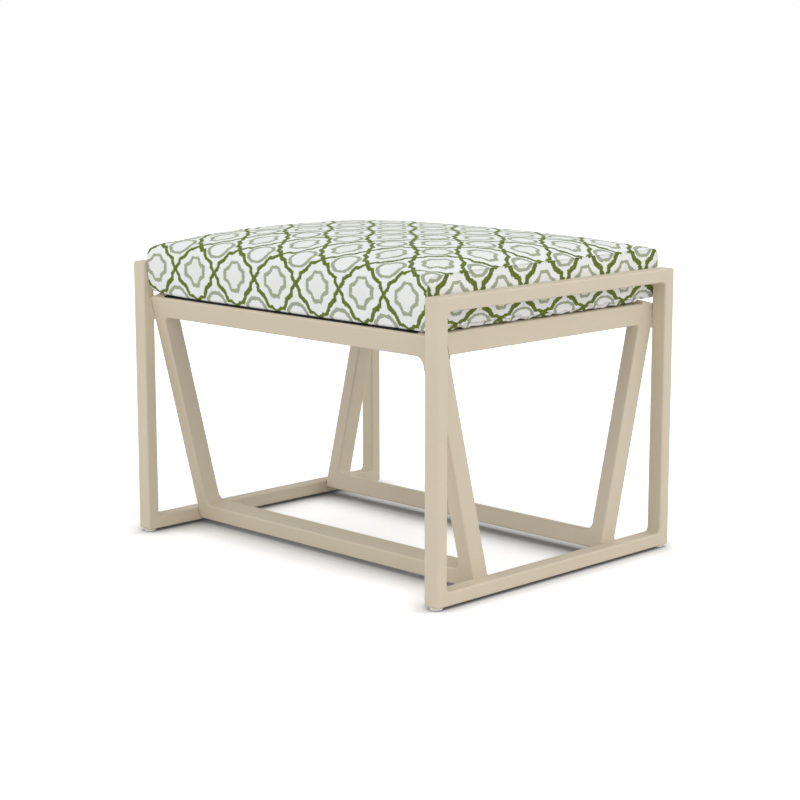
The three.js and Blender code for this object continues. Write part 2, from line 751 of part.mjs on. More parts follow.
function zipPull() {
  const outline = new THREE.Shape();
  const tip = slider_park - pull_length;
  const half = pull_width / 2;
  const eye = pull_eye_width / 2;
  const strip = pull_strip / 2;
  const corners = [[slider_park + strip, -half], [slider_park + strip, half], [tip, half], [tip, -half]];
  outline.setFromPoints(corners.map(([x, z]) => new THREE.Vector2(x, z)));
  const inner = [
    [slider_park - strip, -eye], [slider_park - strip, eye],
    [slider_park - strip - pull_eye_length, eye], [slider_park - strip - pull_eye_length, -eye],
  ];
  outline.holes.push(new THREE.Path(inner.map(([x, z]) => new THREE.Vector2(x, z))));
  const pull = mesh("zip_pull", plainExtrusion(outline, pull_thickness), zip_metal());
  pull.rotation.x = Math.PI / 2;
  pull.position.set(0, pull_seat_y + pull_thickness, zip_z);
  return pull;
}

function cushion() {
  const group = new THREE.Group();
  const cover = toSolid(wrapGeometry()).subtract(zipSlot());
  const foam_low = fill_low + fibre_thickness + layer_gap;
  const foam_high = fill_high - fibre_thickness - layer_gap;
  const fibre_bottom = fillLayer(fill_low, fill_low + fibre_thickness, fibre_radius, fibre_radius);
  const fibre_top = fillLayer(fill_high - fibre_thickness, fill_high, fibre_radius, fibre_radius);
  fibre_bottom.half = cushion_half_depth - cushion_bottom_radius + fibre_radius;
  fibre_top.half = flat_half_depth + fibre_radius;
  const foam = fillLayer(foam_low, foam_high, foam_edge_radius, foam_edge_radius);
  group.add(
    mesh("cover_wrap", toGeometry(cover), printed_fabric()),
    mesh("foam_core", fillGeometry(foam), yellow_foam()),
    mesh("lower_fibre_pad", fillGeometry(fibre_bottom), white_fibre()),
    mesh("upper_fibre_pad", fillGeometry(fibre_top), white_fibre()),
    zipChain(),
    zipSlider(),
    zipPull(),
  );
  const right_panel = mesh("cover_right_end", endPanelGeometry(), printed_fabric());
  const left_panel = mesh("cover_left_end", endPanelGeometry(), printed_fabric());
  left_panel.rotation.z = Math.PI;
  group.add(right_panel, left_panel);
  return group;
}

const footstool = new THREE.Group();
const side_tubes = sideLoopTubes();
const base_tubes = leaningLoopTubes();
const side_rail = sideRailGeometry();
for (const side of ["left", "right"]) {
  footstool.add(sideLoop(side, side_tubes), seatSideRail(side, side_rail));
}
for (const end of ["front", "back"]) {
  footstool.add(leaningLoop(end, base_tubes), splineRod(end));
}
footstool.add(slingDeck(), cushion());

export default footstool;
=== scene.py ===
"""The looks of an outdoor ottoman footstool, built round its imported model.

Two upright side loops and two leaning loops of powder-coated aluminium tube carry a black sling
deck, and a crowned cushion in a printed canvas cover lies on it, with a zip in its back. Sizes
are in millimetres in the classes below and are turned to metres where a mesh is made. +X is to
the right, +Y to the back and +Z up, with the origin on the floor under the middle.
"""

from __future__ import annotations

import json
import logging
import math
from dataclasses import dataclass
from enum import Enum
from typing import Any, ClassVar, Iterable, Sequence

import bpy
import numpy as np
from mathutils import Matrix, Vector

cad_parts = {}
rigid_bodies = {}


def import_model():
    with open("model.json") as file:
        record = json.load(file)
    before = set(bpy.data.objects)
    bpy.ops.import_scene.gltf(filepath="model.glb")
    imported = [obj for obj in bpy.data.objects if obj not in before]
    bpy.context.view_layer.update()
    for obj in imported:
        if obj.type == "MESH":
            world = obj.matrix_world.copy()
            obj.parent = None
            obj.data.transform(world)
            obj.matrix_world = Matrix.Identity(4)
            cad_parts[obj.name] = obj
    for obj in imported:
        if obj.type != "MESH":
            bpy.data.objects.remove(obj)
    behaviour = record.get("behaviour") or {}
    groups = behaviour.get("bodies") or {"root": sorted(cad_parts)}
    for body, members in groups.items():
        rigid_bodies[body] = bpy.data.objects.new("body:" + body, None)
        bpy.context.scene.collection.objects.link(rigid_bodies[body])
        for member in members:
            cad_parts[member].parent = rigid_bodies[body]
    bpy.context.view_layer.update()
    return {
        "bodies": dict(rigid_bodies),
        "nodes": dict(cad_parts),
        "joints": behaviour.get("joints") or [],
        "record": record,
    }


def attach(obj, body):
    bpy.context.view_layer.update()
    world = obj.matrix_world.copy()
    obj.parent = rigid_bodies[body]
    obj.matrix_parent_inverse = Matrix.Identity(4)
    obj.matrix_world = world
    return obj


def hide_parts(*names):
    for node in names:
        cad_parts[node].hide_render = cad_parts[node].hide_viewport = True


LOG = logging.getLogger("footstool")
MM = 0.001
WAVE_TURN = math.pi / 10  # the wave texture's scale at one wave a metre


class Body(Enum):
    """The bodies that pieces ride on."""

    FRAME = "frame"
    CUSHION = "cushion"
    SLIDER = "slider"
    PULL = "pull"


class Slot(Enum):
    """The material slots that the finishes belong to."""

    COAT = "beige_coat"
    GLIDE = "clear_plastic"
    MESH = "black_mesh"
    ROD = "black_rod"
    CANVAS = "printed_fabric"
    TAPE = "zip_nylon"
    ZINC = "zip_metal"


class Side(Enum):
    """A direction along X or Y."""

    LOW = -1
    HIGH = 1

    @property
    def across(self) -> str:
        """The side's name along X."""
        return "left" if self is Side.LOW else "right"

    @property
    def deep(self) -> str:
        """The side's name along Y."""
        return "front" if self is Side.LOW else "back"


def linear(code: str) -> tuple[float, float, float, float]:
    """Turns an sRGB hex colour into linear values.

    Args:
        code: a colour such as "#cfc5b1".

    Returns:
        Linear red, green and blue, with an alpha of one.
    """
    shares = np.array([int(code[at : at + 2], 16) for at in (1, 3, 5)]) / 255
    low, high = shares / 12.92, ((shares + 0.055) / 1.055) ** 2.4
    return (*np.where(shares <= 0.04045, low, high).tolist(), 1.0)


@dataclass
class Surface:
    """Points in millimetres, with the faces that join them."""

    points: np.ndarray
    faces: list[Sequence[int]]

    def outward(self) -> Surface:
        """Turns the faces over where the closed surface's signed volume is negative.

        Returns:
            This surface, with its faces pointing out.
        """
        volume = 0.0
        for size in {len(face) for face in self.faces}:
            block = np.array([face for face in self.faces if len(face) == size])
            first = self.points[block[:, 0]]
            for step in range(1, size - 1):
                second, third = self.points[block[:, step]], self.points[block[:, step + 1]]
                volume += float(np.einsum("ij,ij->", first, np.cross(second, third)))
        if volume < 0:
            self.faces = [list(reversed(face)) for face in self.faces]
        return self

    def joined(self, other: Surface) -> Surface:
        """Returns one surface made of this one and another."""
        moved = [[index + len(self.points) for index in face] for face in other.faces]
        return Surface(np.vstack([self.points, other.points]), [*self.faces, *moved])


def grid_faces(rows: int, columns: int, wrap_rows: bool, wrap_columns: bool) -> np.ndarray:
    """Joins a grid of points into quads.

    Args:
        rows: points along the first parameter.
        columns: points along the second parameter.
        wrap_rows: whether the last row joins the first.
        wrap_columns: whether the last column joins the first.

    Returns:
        An array with four point numbers for each quad.
    """
    index = np.arange(rows * columns).reshape(rows, columns)
    if wrap_rows:
        index = np.vstack([index, index[:1]])
    if wrap_columns:
        index = np.hstack([index, index[:, :1]])
    corners = index[:-1, :-1], index[:-1, 1:], index[1:, 1:], index[1:, :-1]
    return np.stack([corner.ravel() for corner in corners], axis=1)


def torus_surface(grid: np.ndarray) -> Surface:
    """Returns the closed surface of a grid that wraps both ways."""
    rows, columns = grid.shape[:2]
    faces = grid_faces(rows, columns, True, True).tolist()
    return Surface(grid.reshape(-1, 3), faces).outward()


def capped_surface(grid: np.ndarray) -> Surface:
    """Returns the closed surface of rows of rings, with a face over each end."""
    rows, columns = grid.shape[:2]
    faces = grid_faces(rows, columns, False, True).tolist()
    faces.append(list(range(columns)))
    faces.append(list(range(rows * columns - 1, (rows - 1) * columns - 1, -1)))
    return Surface(grid.reshape(-1, 3), faces).outward()


def carried_ring(path: np.ndarray, ring: np.ndarray, across: np.ndarray) -> np.ndarray:
    """Carries a ring along a path: point = path + ring_x * side + ring_y * across.

    Args:
        path: points along the way, shape (n, 3).
        ring: the ring's points, shape (m, 2) or (n, m, 2).
        across: the unit direction that stays square to the path.

    Returns:
        A grid of points, shape (n, m, 3).
    """
    along = np.gradient(path, axis=0)
    side = np.cross(along, across)
    side /= np.linalg.norm(side, axis=1, keepdims=True)
    rings = np.broadcast_to(ring, (len(path), *ring.shape[-2:]))
    return path[:, None] + rings[..., :1] * side[:, None] + rings[..., 1:] * across


def along_x(stations: np.ndarray, ring: np.ndarray) -> np.ndarray:
    """Carries a ring straight along X: point = (station, ring_y, ring_z).

    Args:
        stations: places along X, shape (n,).
        ring: the ring's Y and Z, shape (m, 2) or (n, m, 2).

    Returns:
        A grid of points, shape (n, m, 3).
    """
    rings = np.broadcast_to(ring, (len(stations), *ring.shape[-2:]))
    x = np.broadcast_to(stations[:, None, None], (*rings.shape[:2], 1))
    return np.concatenate([x, rings], axis=2)


def ellipse(radius_x: float, radius_y: float, count: int) -> np.ndarray:
    """Returns points round an ellipse, x = a cos t and y = b sin t."""
    angle = np.linspace(0, 2 * math.pi, count, endpoint=False)
    return np.stack([radius_x * np.cos(angle), radius_y * np.sin(angle)], axis=1)


def rounded_outline(box: Sequence[float], radii: Sequence[float], steps: int) -> np.ndarray:
    """Returns a rectangle's outline with a round arc in each corner, counter-clockwise.

    Args:
        box: left, low, right and high.
        radii: the radius at the lower left, lower right, upper right and upper left.
        steps: pieces that each arc is split into.

    Returns:
        Points, shape (4 * (steps + 1), 2), starting at the lower left arc.
    """
    left, low, right, high = box
    corners = np.array([(left, low), (right, low), (right, high), (left, high)])
    inward = np.array([(1, 1), (-1, 1), (-1, -1), (1, -1)])
    turn = np.linspace(0, math.pi / 2, steps + 1)
    arcs = []
    for corner, inner, radius, start in zip(corners, inward, radii, (2, 3, 0, 1)):
        angle = start * math.pi / 2 + turn
        arc = np.stack([np.cos(angle), np.sin(angle)], axis=1)
        arcs.append(corner + inner * radius + radius * arc)
    return np.vstack(arcs)


def add_node(
    tree: bpy.types.NodeTree, kind: str, links: dict | None = None, **settings: Any
) -> bpy.types.Node:
    """Adds a node, gives it its settings and fills or links its inputs.

    Args:
        tree: the node tree.
        kind: the node's type without its ShaderNode prefix.
        links: input name or number to a value, to the socket that feeds it, or to a node whose
            first output feeds it.
        settings: the node's own settings.

    Returns:
        The node.
    """
    node = tree.nodes.new(f"ShaderNode{kind}")
    for name, value in settings.items():
        setattr(node, name, value)
    for key, value in (links or {}).items():
        if isinstance(value, bpy.types.Node):
            value = value.outputs[0]
        if isinstance(value, bpy.types.NodeSocket):
            tree.links.new(value, node.inputs[key])
        else:
            node.inputs[key].default_value = value
    return node


def stepped(curve: bpy.types.Node, places: Sequence[Sequence[float]]) -> bpy.types.Node:
    """Draws a curve node's line straight from place to place, and returns the node."""
    line = curve.mapping.curves[0]
    line.points[0].location, line.points[1].location = places[0], places[-1]
    for place in places[1:-1]:
        line.points.new(*place)
    for point in line.points:
        point.handle_type = "VECTOR"
    curve.mapping.update()
    return curve


class Finish:
    """A finish that can be made into a node material."""

    name: ClassVar[str]
    slot: ClassVar[Slot]
    kind: ClassVar[str] = "BsdfPrincipled"

    def inputs(self, tree: bpy.types.NodeTree) -> dict[str, Any]:
        """Adds the finish's own nodes and returns what its shader's inputs get."""
        raise NotImplementedError

    def material(self) -> bpy.types.Material:
        """Returns the finish as a material, which is made at the first call."""
        known = bpy.data.materials.get(self.name)
        if known:
            return known
        material = bpy.data.materials.new(self.name)
        material.use_nodes = True
        tree = material.node_tree
        tree.nodes.clear()
        add_node(tree, "OutputMaterial", {0: add_node(tree, self.kind, self.inputs(tree))})
        return material


@dataclass(frozen=True)
class PowderCoat(Finish):
    """Polyester powder coat baked on aluminium tube: satin, with a faint orange peel."""

    name: ClassVar[str] = "powder_coated_aluminium"
    slot: ClassVar[Slot] = Slot.COAT
    colour: str = "#d2c6af"
    light: str = "#d6cab4"
    peel: float = 2.2  # mm from one ripple of the coat to the next
    patch: float = 60.0  # mm across a patch that is a shade lighter

    def inputs(self, tree: bpy.types.NodeTree) -> dict[str, Any]:
        """Returns two close beiges in soft patches over a rippled, satin film."""
        place = {"Vector": add_node(tree, "TexCoord").outputs["Object"]}
        patches, ripple = (
            add_node(tree, "TexNoise", {**place, "Scale": 1 / (size * MM), "Detail": detail})
            for size, detail in ((self.patch, 2.0), (self.peel, 3.0))
        )
        shades = {6: linear(self.colour), 7: linear(self.light)}
        tint = add_node(tree, "Mix", {0: patches, **shades}, data_type="RGBA")
        bump = add_node(tree, "Bump", {"Height": ripple, "Strength": 0.25, "Distance": 0.08 * MM})
        film = {"Roughness": 0.55, "IOR": 1.45}
        return {"Base Color": tint.outputs[2], "Normal": bump, **film}


@dataclass(frozen=True)
class SlingCloth(Finish):
    """Vinyl-coated polyester yarn in a plain weave: black, with a dull plastic glint."""

    name: ClassVar[str] = "black_sling_cloth"
    slot: ClassVar[Slot] = Slot.MESH
    warp: str = "#050506"
    weft: str = "#0d0d0f"
    yarn: float = 1.6  # mm from yarn to yarn, as on outdoor sling cloth

    def inputs(self, tree: bpy.types.NodeTree) -> dict[str, Any]:
        """Returns the cloth: yarns crossing along X and Y as two waves multiplied together."""
        place = add_node(tree, "TexCoord").outputs["Object"]
        wave = {"Vector": place, "Scale": 1 / (2 * self.yarn * MM) * WAVE_TURN}
        yarns = [
            add_node(tree, "TexWave", wave, wave_type="BANDS", bands_direction=direction)
            for direction in ("X", "Y")
        ]
        weave = add_node(tree, "Math", dict(enumerate(yarns)), operation="MULTIPLY")
        shades = {6: linear(self.warp), 7: linear(self.weft)}
        tint = add_node(tree, "Mix", {0: weave, **shades}, data_type="RGBA")
        bump = add_node(tree, "Bump", {"Height": weave, "Strength": 0.6, "Distance": 0.3 * MM})
        vinyl = {"Roughness": 0.75, "Specular IOR Level": 0.25}
        return {"Base Color": tint.outputs[2], "Normal": bump, **vinyl}


@dataclass(frozen=True)
class MouldedNylon(Finish):
    """Natural nylon moulded in one shot: milky, with light passing into its edges."""

    name: ClassVar[str] = "moulded_natural_nylon"
    slot: ClassVar[Slot] = Slot.GLIDE
    colour: str = "#e9ebe7"
    depth: float = 0.004  # m that light travels inside
    grain: float = 900.0  # specks a metre, about 1 mm each so that they show

    def inputs(self, tree: bpy.types.NodeTree) -> dict[str, Any]:
        """Returns the plastic: a milky body with a fine moulded grain."""
        place = add_node(tree, "TexCoord").outputs["Object"]
        grain = add_node(tree, "TexNoise", {"Vector": place, "Scale": self.grain, "Detail": 2.0})
        bump = add_node(tree, "Bump", {"Height": grain, "Strength": 0.2, "Distance": 0.05 * MM})
        body = {"Roughness": 0.38, "IOR": 1.53, "Subsurface Weight": 0.35}
        body["Subsurface Radius"] = (self.depth,) * 3
        return {"Base Color": linear(self.colour), "Normal": bump, **body}


@dataclass(frozen=True)
class BlackExtrusion(Finish):
    """Extruded black polypropylene rod, smooth along its length."""

    name: ClassVar[str] = "black_extruded_rod"
    slot: ClassVar[Slot] = Slot.ROD
    colour: str = "#1b1b1d"
    lines: float = 700.0  # die lines a metre round the rod, 1.4 mm apart
    length: float = 4.0  # the same along it, where a line runs on for 250 mm

    def inputs(self, tree: bpy.types.NodeTree) -> dict[str, Any]:
        """Returns the plastic: black, with faint die lines along the rod."""
        place = add_node(tree, "TexCoord").outputs["Object"]
        scale = (self.length, self.lines, self.lines)
        drawn = add_node(tree, "Mapping", {"Vector": place, "Scale": scale})
        lines = add_node(tree, "TexNoise", {"Vector": drawn, "Scale": 1.0})
        bump = add_node(tree, "Bump", {"Height": lines, "Strength": 0.2, "Distance": 0.05 * MM})
        return {"Base Color": linear(self.colour), "Roughness": 0.4, "Normal": bump}


@dataclass(frozen=True)
class PrintForm:
    """A printed line round a middle: its half sizes in mm and its bow against the straight."""

    half_width: float
    half_height: float
    curve: tuple[tuple[float, float], ...]
    thin_top: float = 1.0  # share of the line's width at the top and the bottom
    thick_side: float = 1.0  # share of the line's width at the two sides

    def slimming(self) -> tuple[tuple[float, float], ...]:
        """Returns 1 / sqrt(1 + slope^2) along the curve, to keep the line's width even."""
        bend = 0.01  # share of the way taken by the change from one slope to the next
        steps = []
        for (t0, q0), (t1, q1) in zip(self.curve, self.curve[1:]):
            share = 1 / math.hypot(1, (q1 - q0) / (t1 - t0))
            steps += [(t0 + bend, share), (t1 - bend, share)]
        return ((0.0, steps[0][1]), *steps, (1.0, steps[-1][1]))


class Print:
    """The print's repeat: an ogee lattice with a half drop."""

    UV_NAME = "print_cells"
    BOLDER_NAME = "print_bolder"  # how much wider the lattice is than on the wrap, as a share
    WIDTH = 89.0  # mm from crossing to crossing along the cloth
    HEIGHT = 89.0  # mm from crossing to crossing up the cloth
    EDGE = PrintForm(
        44.5, 44.5, ((0.0, 0.065), (0.29, 0.14), (0.44, 0.175), (0.6, 0.042), (1.0, 0.0))
    )
    DRAWN_RING = PrintForm(
        20.2, 21.3, ((0.0, 0.18), (0.2, 0.21), (0.5, 0.31), (0.68, 0.32), (1.0, 0.0)), 0.72, 1.1
    )
    BOWED_RING = PrintForm(
        19.6, 17.4, ((0.0, 0.46), (0.3, 0.45), (0.62, 0.36), (1.0, 0.0)), 0.72, 1.1
    )

    @classmethod
    def cells(cls, across: np.ndarray, up: np.ndarray) -> np.ndarray:
        """Turns millimetres along the cloth into the print's cells.

        Args:
            across: mm along the cloth from the middle of a drawn-in cell.
            up: mm up the cloth from a row of crossings.

        Returns:
            UV coordinates, shape (..., 2).
        """
        return np.stack(np.broadcast_arrays(across / cls.WIDTH, up / cls.HEIGHT), axis=-1)

    @classmethod
    def lay(cls, piece: bpy.types.Object, cells: np.ndarray) -> None:
        """Writes the print's cells as a piece's UV map, a pair for each corner of each face."""
        layer = piece.data.uv_layers.new(name=cls.UV_NAME)
        layer.data.foreach_set("uv", cells.astype(np.float32).ravel())


@dataclass(frozen=True)
class PrintedCanvas(Finish):
    """Solution-dyed outdoor canvas, screen printed: matt, slubby, with soft-edged ink.

    The print is an ogee lattice. Two kinds of cell alternate: one with drawn-in edges and one
    with bowed edges, each with a grey-green ring in it.
    """

    name: ClassVar[str] = "printed_outdoor_canvas"
    slot: ClassVar[Slot] = Slot.CANVAS
    ground: str = "#f7f8f7"
    ground_shade: str = "#ecedeb"
    inner: str = "#eff0ec"
    lattice: str = "#56651a"
    lattice_pale: str = "#748234"
    ring: str = "#a6ac94"
    line: float = 6.1  # mm across a line of the lattice
    ring_line: float = 6.2  # mm across a ring's line where it slants
    soft: float = 0.9  # mm over which an ink edge fades
    slub: float = 2.6  # mm, drawn several threads wide so that it shows
    wander: float = 5.6  # mm of raggedness over the full range of the noise

    def inputs(self, tree: bpy.types.NodeTree) -> dict[str, Any]:
        """Returns the canvas with its inks laid over one another.

        The UV map holds the print's own cells: u and v grow by one from cell to cell. With a
        and b the folded distances from a drawn-in cell's middle, q = a + b - 1 measures across
        a lattice line and t = |b - a| along it, and a line lies where q equals a curve of t.
        """
        cells = add_node(tree, "UVMap", uv_map=Print.UV_NAME)
        slubs = {"Scale": Print.WIDTH / self.slub, "Detail": 3.0}
        thread = add_node(tree, "TexNoise", {"Vector": cells, **slubs})
        ragged = {0: thread.outputs["Color"], 1: (-0.5,) * 3}
        centred = add_node(tree, "VectorMath", ragged, operation="ADD")
        reach = {0: centred, "Scale": self.wander / Print.WIDTH}
        pull = add_node(tree, "VectorMath", reach, operation="SCALE")
        moved = add_node(tree, "VectorMath", {0: cells, 1: pull}, operation="ADD")
        split = add_node(tree, "SeparateXYZ", {0: moved})
        folds, others = [], []
        for axis in (0, 1):
            half = add_node(tree, "Math", {0: split.outputs[axis], 1: 0.5}, operation="PINGPONG")
            folds.append(add_node(tree, "Math", {0: half, 1: 2.0}, operation="MULTIPLY"))
            others.append(add_node(tree, "Math", {0: 1.0, 1: folds[-1]}, operation="SUBTRACT"))
        edge = self.offset(tree, folds, Print.EDGE)
        drawn = self.offset(tree, folds, Print.DRAWN_RING)
        bowed = self.offset(tree, others, Print.BOWED_RING)
        bolder = add_node(tree, "Attribute", attribute_name=Print.BOLDER_NAME).outputs["Fac"]
        wider = add_node(tree, "Math", {0: bolder, 1: 1.0}, operation="ADD")
        edge = add_node(tree, "Math", {0: edge, 1: wider}, operation="DIVIDE")
        uneven = add_node(tree, "MapRange", {0: thread, 1: 0.36, 2: 0.64})
        greens = {6: linear(self.lattice), 7: linear(self.lattice_pale)}
        mottle = add_node(tree, "Mix", {0: uneven, **greens}, data_type="RGBA")
        layers = [
            (thread, linear(self.ground_shade)),
            (add_node(tree, "Math", {0: drawn, 1: 0.0}, operation="LESS_THAN"), linear(self.inner)),
            (self.inked(tree, drawn, self.ring_line), linear(self.ring)),
            (self.inked(tree, bowed, self.ring_line), linear(self.ring)),
            (self.inked(tree, edge, self.line), mottle.outputs[2]),
        ]
        colour: Any = linear(self.ground)
        for share, over in layers:
            layer = add_node(tree, "Mix", {0: share, 6: colour, 7: over}, data_type="RGBA")
            colour = layer.outputs[2]
        bump = add_node(tree, "Bump", {"Height": thread, "Strength": 0.35, "Distance": 0.25 * MM})
        cloth = {"Roughness": 0.92, "Specular IOR Level": 0.2}
        sheen = {"Sheen Weight": 0.03, "Sheen Roughness": 0.5}
        return {"Base Color": colour, "Normal": bump, **cloth, **sheen}

    def offset(
        self, tree: bpy.types.NodeTree, folds: Sequence[bpy.types.Node], form: PrintForm
    ) -> bpy.types.Node:
        """Measures how far a point is from a printed line.

        It is (a + b - 1 - bow(t)) * slim(t) * size, with a and b as shares of the form's half
        sizes, over the line's share of width, which goes evenly from its top to its sides.

        Args:
            tree: the node tree.
            folds: distances along u and v from the form's middle, folded, 1 at a cell's edge.
            form: the line's half sizes, its curve and its width at the top and the sides.

        Returns:
            A node with the signed distance in mm, negative inside.
        """
        shares = (Print.WIDTH / 2 / form.half_width, Print.HEIGHT / 2 / form.half_height)
        across, up = (
            add_node(tree, "Math", {0: fold, 1: share}, operation="MULTIPLY")
            for fold, share in zip(folds, shares)
        )
        total = add_node(tree, "Math", {0: across, 1: up}, operation="ADD")
        total = add_node(tree, "Math", {0: total, 1: 1.0}, operation="SUBTRACT")
        along = add_node(tree, "Math", {0: up, 1: across}, operation="SUBTRACT")
        along = add_node(tree, "Math", {0: along}, operation="ABSOLUTE")
        bow, slim = (
            stepped(add_node(tree, "FloatCurve", {1: along}), places)
            for places in (form.curve, form.slimming())
        )
        size = math.hypot(form.half_width, form.half_height) / 2
        scale = add_node(tree, "Math", {0: slim, 1: size}, operation="MULTIPLY")
        past = add_node(tree, "Math", {0: total, 1: bow}, operation="SUBTRACT")
        off = add_node(tree, "Math", {0: past, 1: scale}, operation="MULTIPLY")
        if form.thin_top == form.thick_side:
            return off
        toward = add_node(tree, "Math", {0: across, 1: up}, operation="SUBTRACT")
        widths = {1: -1.0, 2: 1.0, 3: form.thin_top, 4: form.thick_side}
        width = add_node(tree, "MapRange", {0: toward, **widths})
        return add_node(tree, "Math", {0: off, 1: width}, operation="DIVIDE")

    def inked(self, tree: bpy.types.NodeTree, off: bpy.types.Node, width: float) -> bpy.types.Node:
        """Returns how much ink lies at a signed distance from the middle of a line."""
        far = add_node(tree, "Math", {0: off}, operation="ABSOLUTE")
        edges = {1: (width - self.soft) / 2, 2: (width + self.soft) / 2, 3: 1.0, 4: 0.0}
        return add_node(tree, "MapRange", {0: far, **edges}, interpolation_type="SMOOTHSTEP")


@dataclass(frozen=True)
class ZipTape(Finish):
    """Woven polyester zip tape and nylon coil: white, with a slight shine on the coil."""

    name: ClassVar[str] = "white_zip_tape"
    slot: ClassVar[Slot] = Slot.TAPE
    colour: str = "#eeeee9"
    rib: float = 1.5  # mm from rib to rib

    def inputs(self, tree: bpy.types.NodeTree) -> dict[str, Any]:
        """Returns the tape: off-white with fine ribs along X."""
        place = add_node(tree, "TexCoord").outputs["Object"]
        wave = {"Vector": place, "Scale": 1 / (self.rib * MM) * WAVE_TURN}
        ribs = add_node(tree, "TexWave", wave, wave_type="BANDS", bands_direction="Z")
        bump = add_node(tree, "Bump", {"Height": ribs, "Strength": 0.4, "Distance": 0.15 * MM})
        return {"Base Color": linear(self.colour), "Roughness": 0.55, "Normal": bump}


@dataclass(frozen=True)
class PlatedZinc(Finish):
    """Die-cast zinc, tumbled and nickel plated: bright, with a soft brushed haze."""

    name: ClassVar[str] = "nickel_plated_zinc"
    slot: ClassVar[Slot] = Slot.ZINC
    colour: str = "#c3c4c2"
    haze: float = 700.0  # marks a metre, 1.4 mm each

    def inputs(self, tree: bpy.types.NodeTree) -> dict[str, Any]:
        """Returns the metal: nickel-grey with its roughness varied by a fine haze."""
        place = add_node(tree, "TexCoord").outputs["Object"]
        haze = add_node(tree, "TexNoise", {"Vector": place, "Scale": self.haze, "Detail": 3.0})
        rough = add_node(tree, "MapRange", {0: haze, 3: 0.24, 4: 0.38})
        return {"Base Color": linear(self.colour), "Metallic": 1.0, "Roughness": rough}


@dataclass(frozen=True)
class SewingThread(Finish):
    """Bonded polyester thread: white, twisted, with a low sheen."""

    name: ClassVar[str] = "white_sewing_thread"
    slot: ClassVar[Slot] = Slot.TAPE
    colour: str = "#f4f4f0"
    twist: float = 1500.0  # turns a metre, 0.7 mm each

    def inputs(self, tree: bpy.types.NodeTree) -> dict[str, Any]:
        """Returns the thread: white with a fine twist."""
        place = add_node(tree, "TexCoord").outputs["Object"]
        twist = add_node(tree, "TexNoise", {"Vector": place, "Scale": self.twist})
        bump = add_node(tree, "Bump", {"Height": twist, "Strength": 0.3, "Distance": 0.05 * MM})
        return {"Base Color": linear(self.colour), "Roughness": 0.6, "Normal": bump}


def make_piece(
    name: str, surface: Surface, finish: Finish, body: Body, replaces: Iterable[str] = ()
) -> bpy.types.Object:
    """Makes a shown piece at the origin and joins it to its body.

    Args:
        name: the piece's name.
        surface: its points in mm, with their faces.
        finish: what it is made of.
        body: the body it rides on.
        replaces: the solids it stands for.

    Returns:
        The object.
    """
    mesh = bpy.data.meshes.new(name)
    mesh.from_pydata((surface.points * MM).tolist(), [], surface.faces)
    mesh.polygons.foreach_set("use_smooth", np.ones(len(mesh.polygons), bool))
    mesh.materials.append(finish.material())
    mesh.update()
    piece = bpy.data.objects.new(name, mesh)
    bpy.context.scene.collection.objects.link(piece)
    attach(piece, body.value)
    if replaces:
        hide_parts(*replaces)
    LOG.info("%s: %d points, %d faces", name, len(mesh.vertices), len(mesh.polygons))
    return piece


@dataclass
class TubeLoop:
    """A closed loop of rectangular tube, lying in its own plane.

    Its own axes are x across, y up and z through the tube, as the outline, the opening and the
    depth give them.
    """

    outline: tuple[float, float, float, float]
    opening: tuple[float, float, float, float]
    depth: float
    outer_radius: float = 3.5
    inner_radius: float = 10.0
    edge_radius: float = 2.5
    support: float = 0.35  # mm from a rounded edge to the flat's first line
    edge_steps: int = 4
    corner_steps: int = 8

    def contour(self, from_outline: bool, inset: float) -> np.ndarray:
        """Returns the line at a distance from the outline or from the opening."""
        if from_outline:
            left, low, right, high = self.outline
            box = (left + inset, low + inset, right - inset, high - inset)
            radius = max(self.outer_radius - inset, 0.4)
        else:
            left, low, right, high = self.opening
            box = (left - inset, low - inset, right + inset, high + inset)
            radius = self.inner_radius + inset
        return rounded_outline(box, (radius,) * 4, self.corner_steps)

    def section(self) -> list[tuple[bool, float, float]]:
        """Returns the tube's section as (measured from the outline, inset, depth) points.

        Each edge is a quarter turn: inset = r (1 - cos t) and depth = d - r + r sin t.
        """
        radius, support, depth = self.edge_radius, self.support, self.depth
        turn = np.linspace(0, math.pi / 2, self.edge_steps + 1)
        rise = [(radius * (1 - math.cos(t)), depth - radius + radius * math.sin(t)) for t in turn]
        quarter = [(0.0, depth - radius - support), *rise, (radius + support, depth)]
        upper = [(True, inset, place) for inset, place in quarter]
        upper += [(False, inset, place) for inset, place in reversed(quarter)]
        return upper + [(kind, inset, depth - place) for kind, inset, place in reversed(upper)]

    def grid(self) -> np.ndarray:
        """Returns the loop as a grid: section points by contour points, in its own axes."""
        rows = []
        for from_outline, inset, place in self.section():
            line = self.contour(from_outline, inset)
            rows.append(np.column_stack([line, np.full(len(line), place)]))
        return np.array(rows)


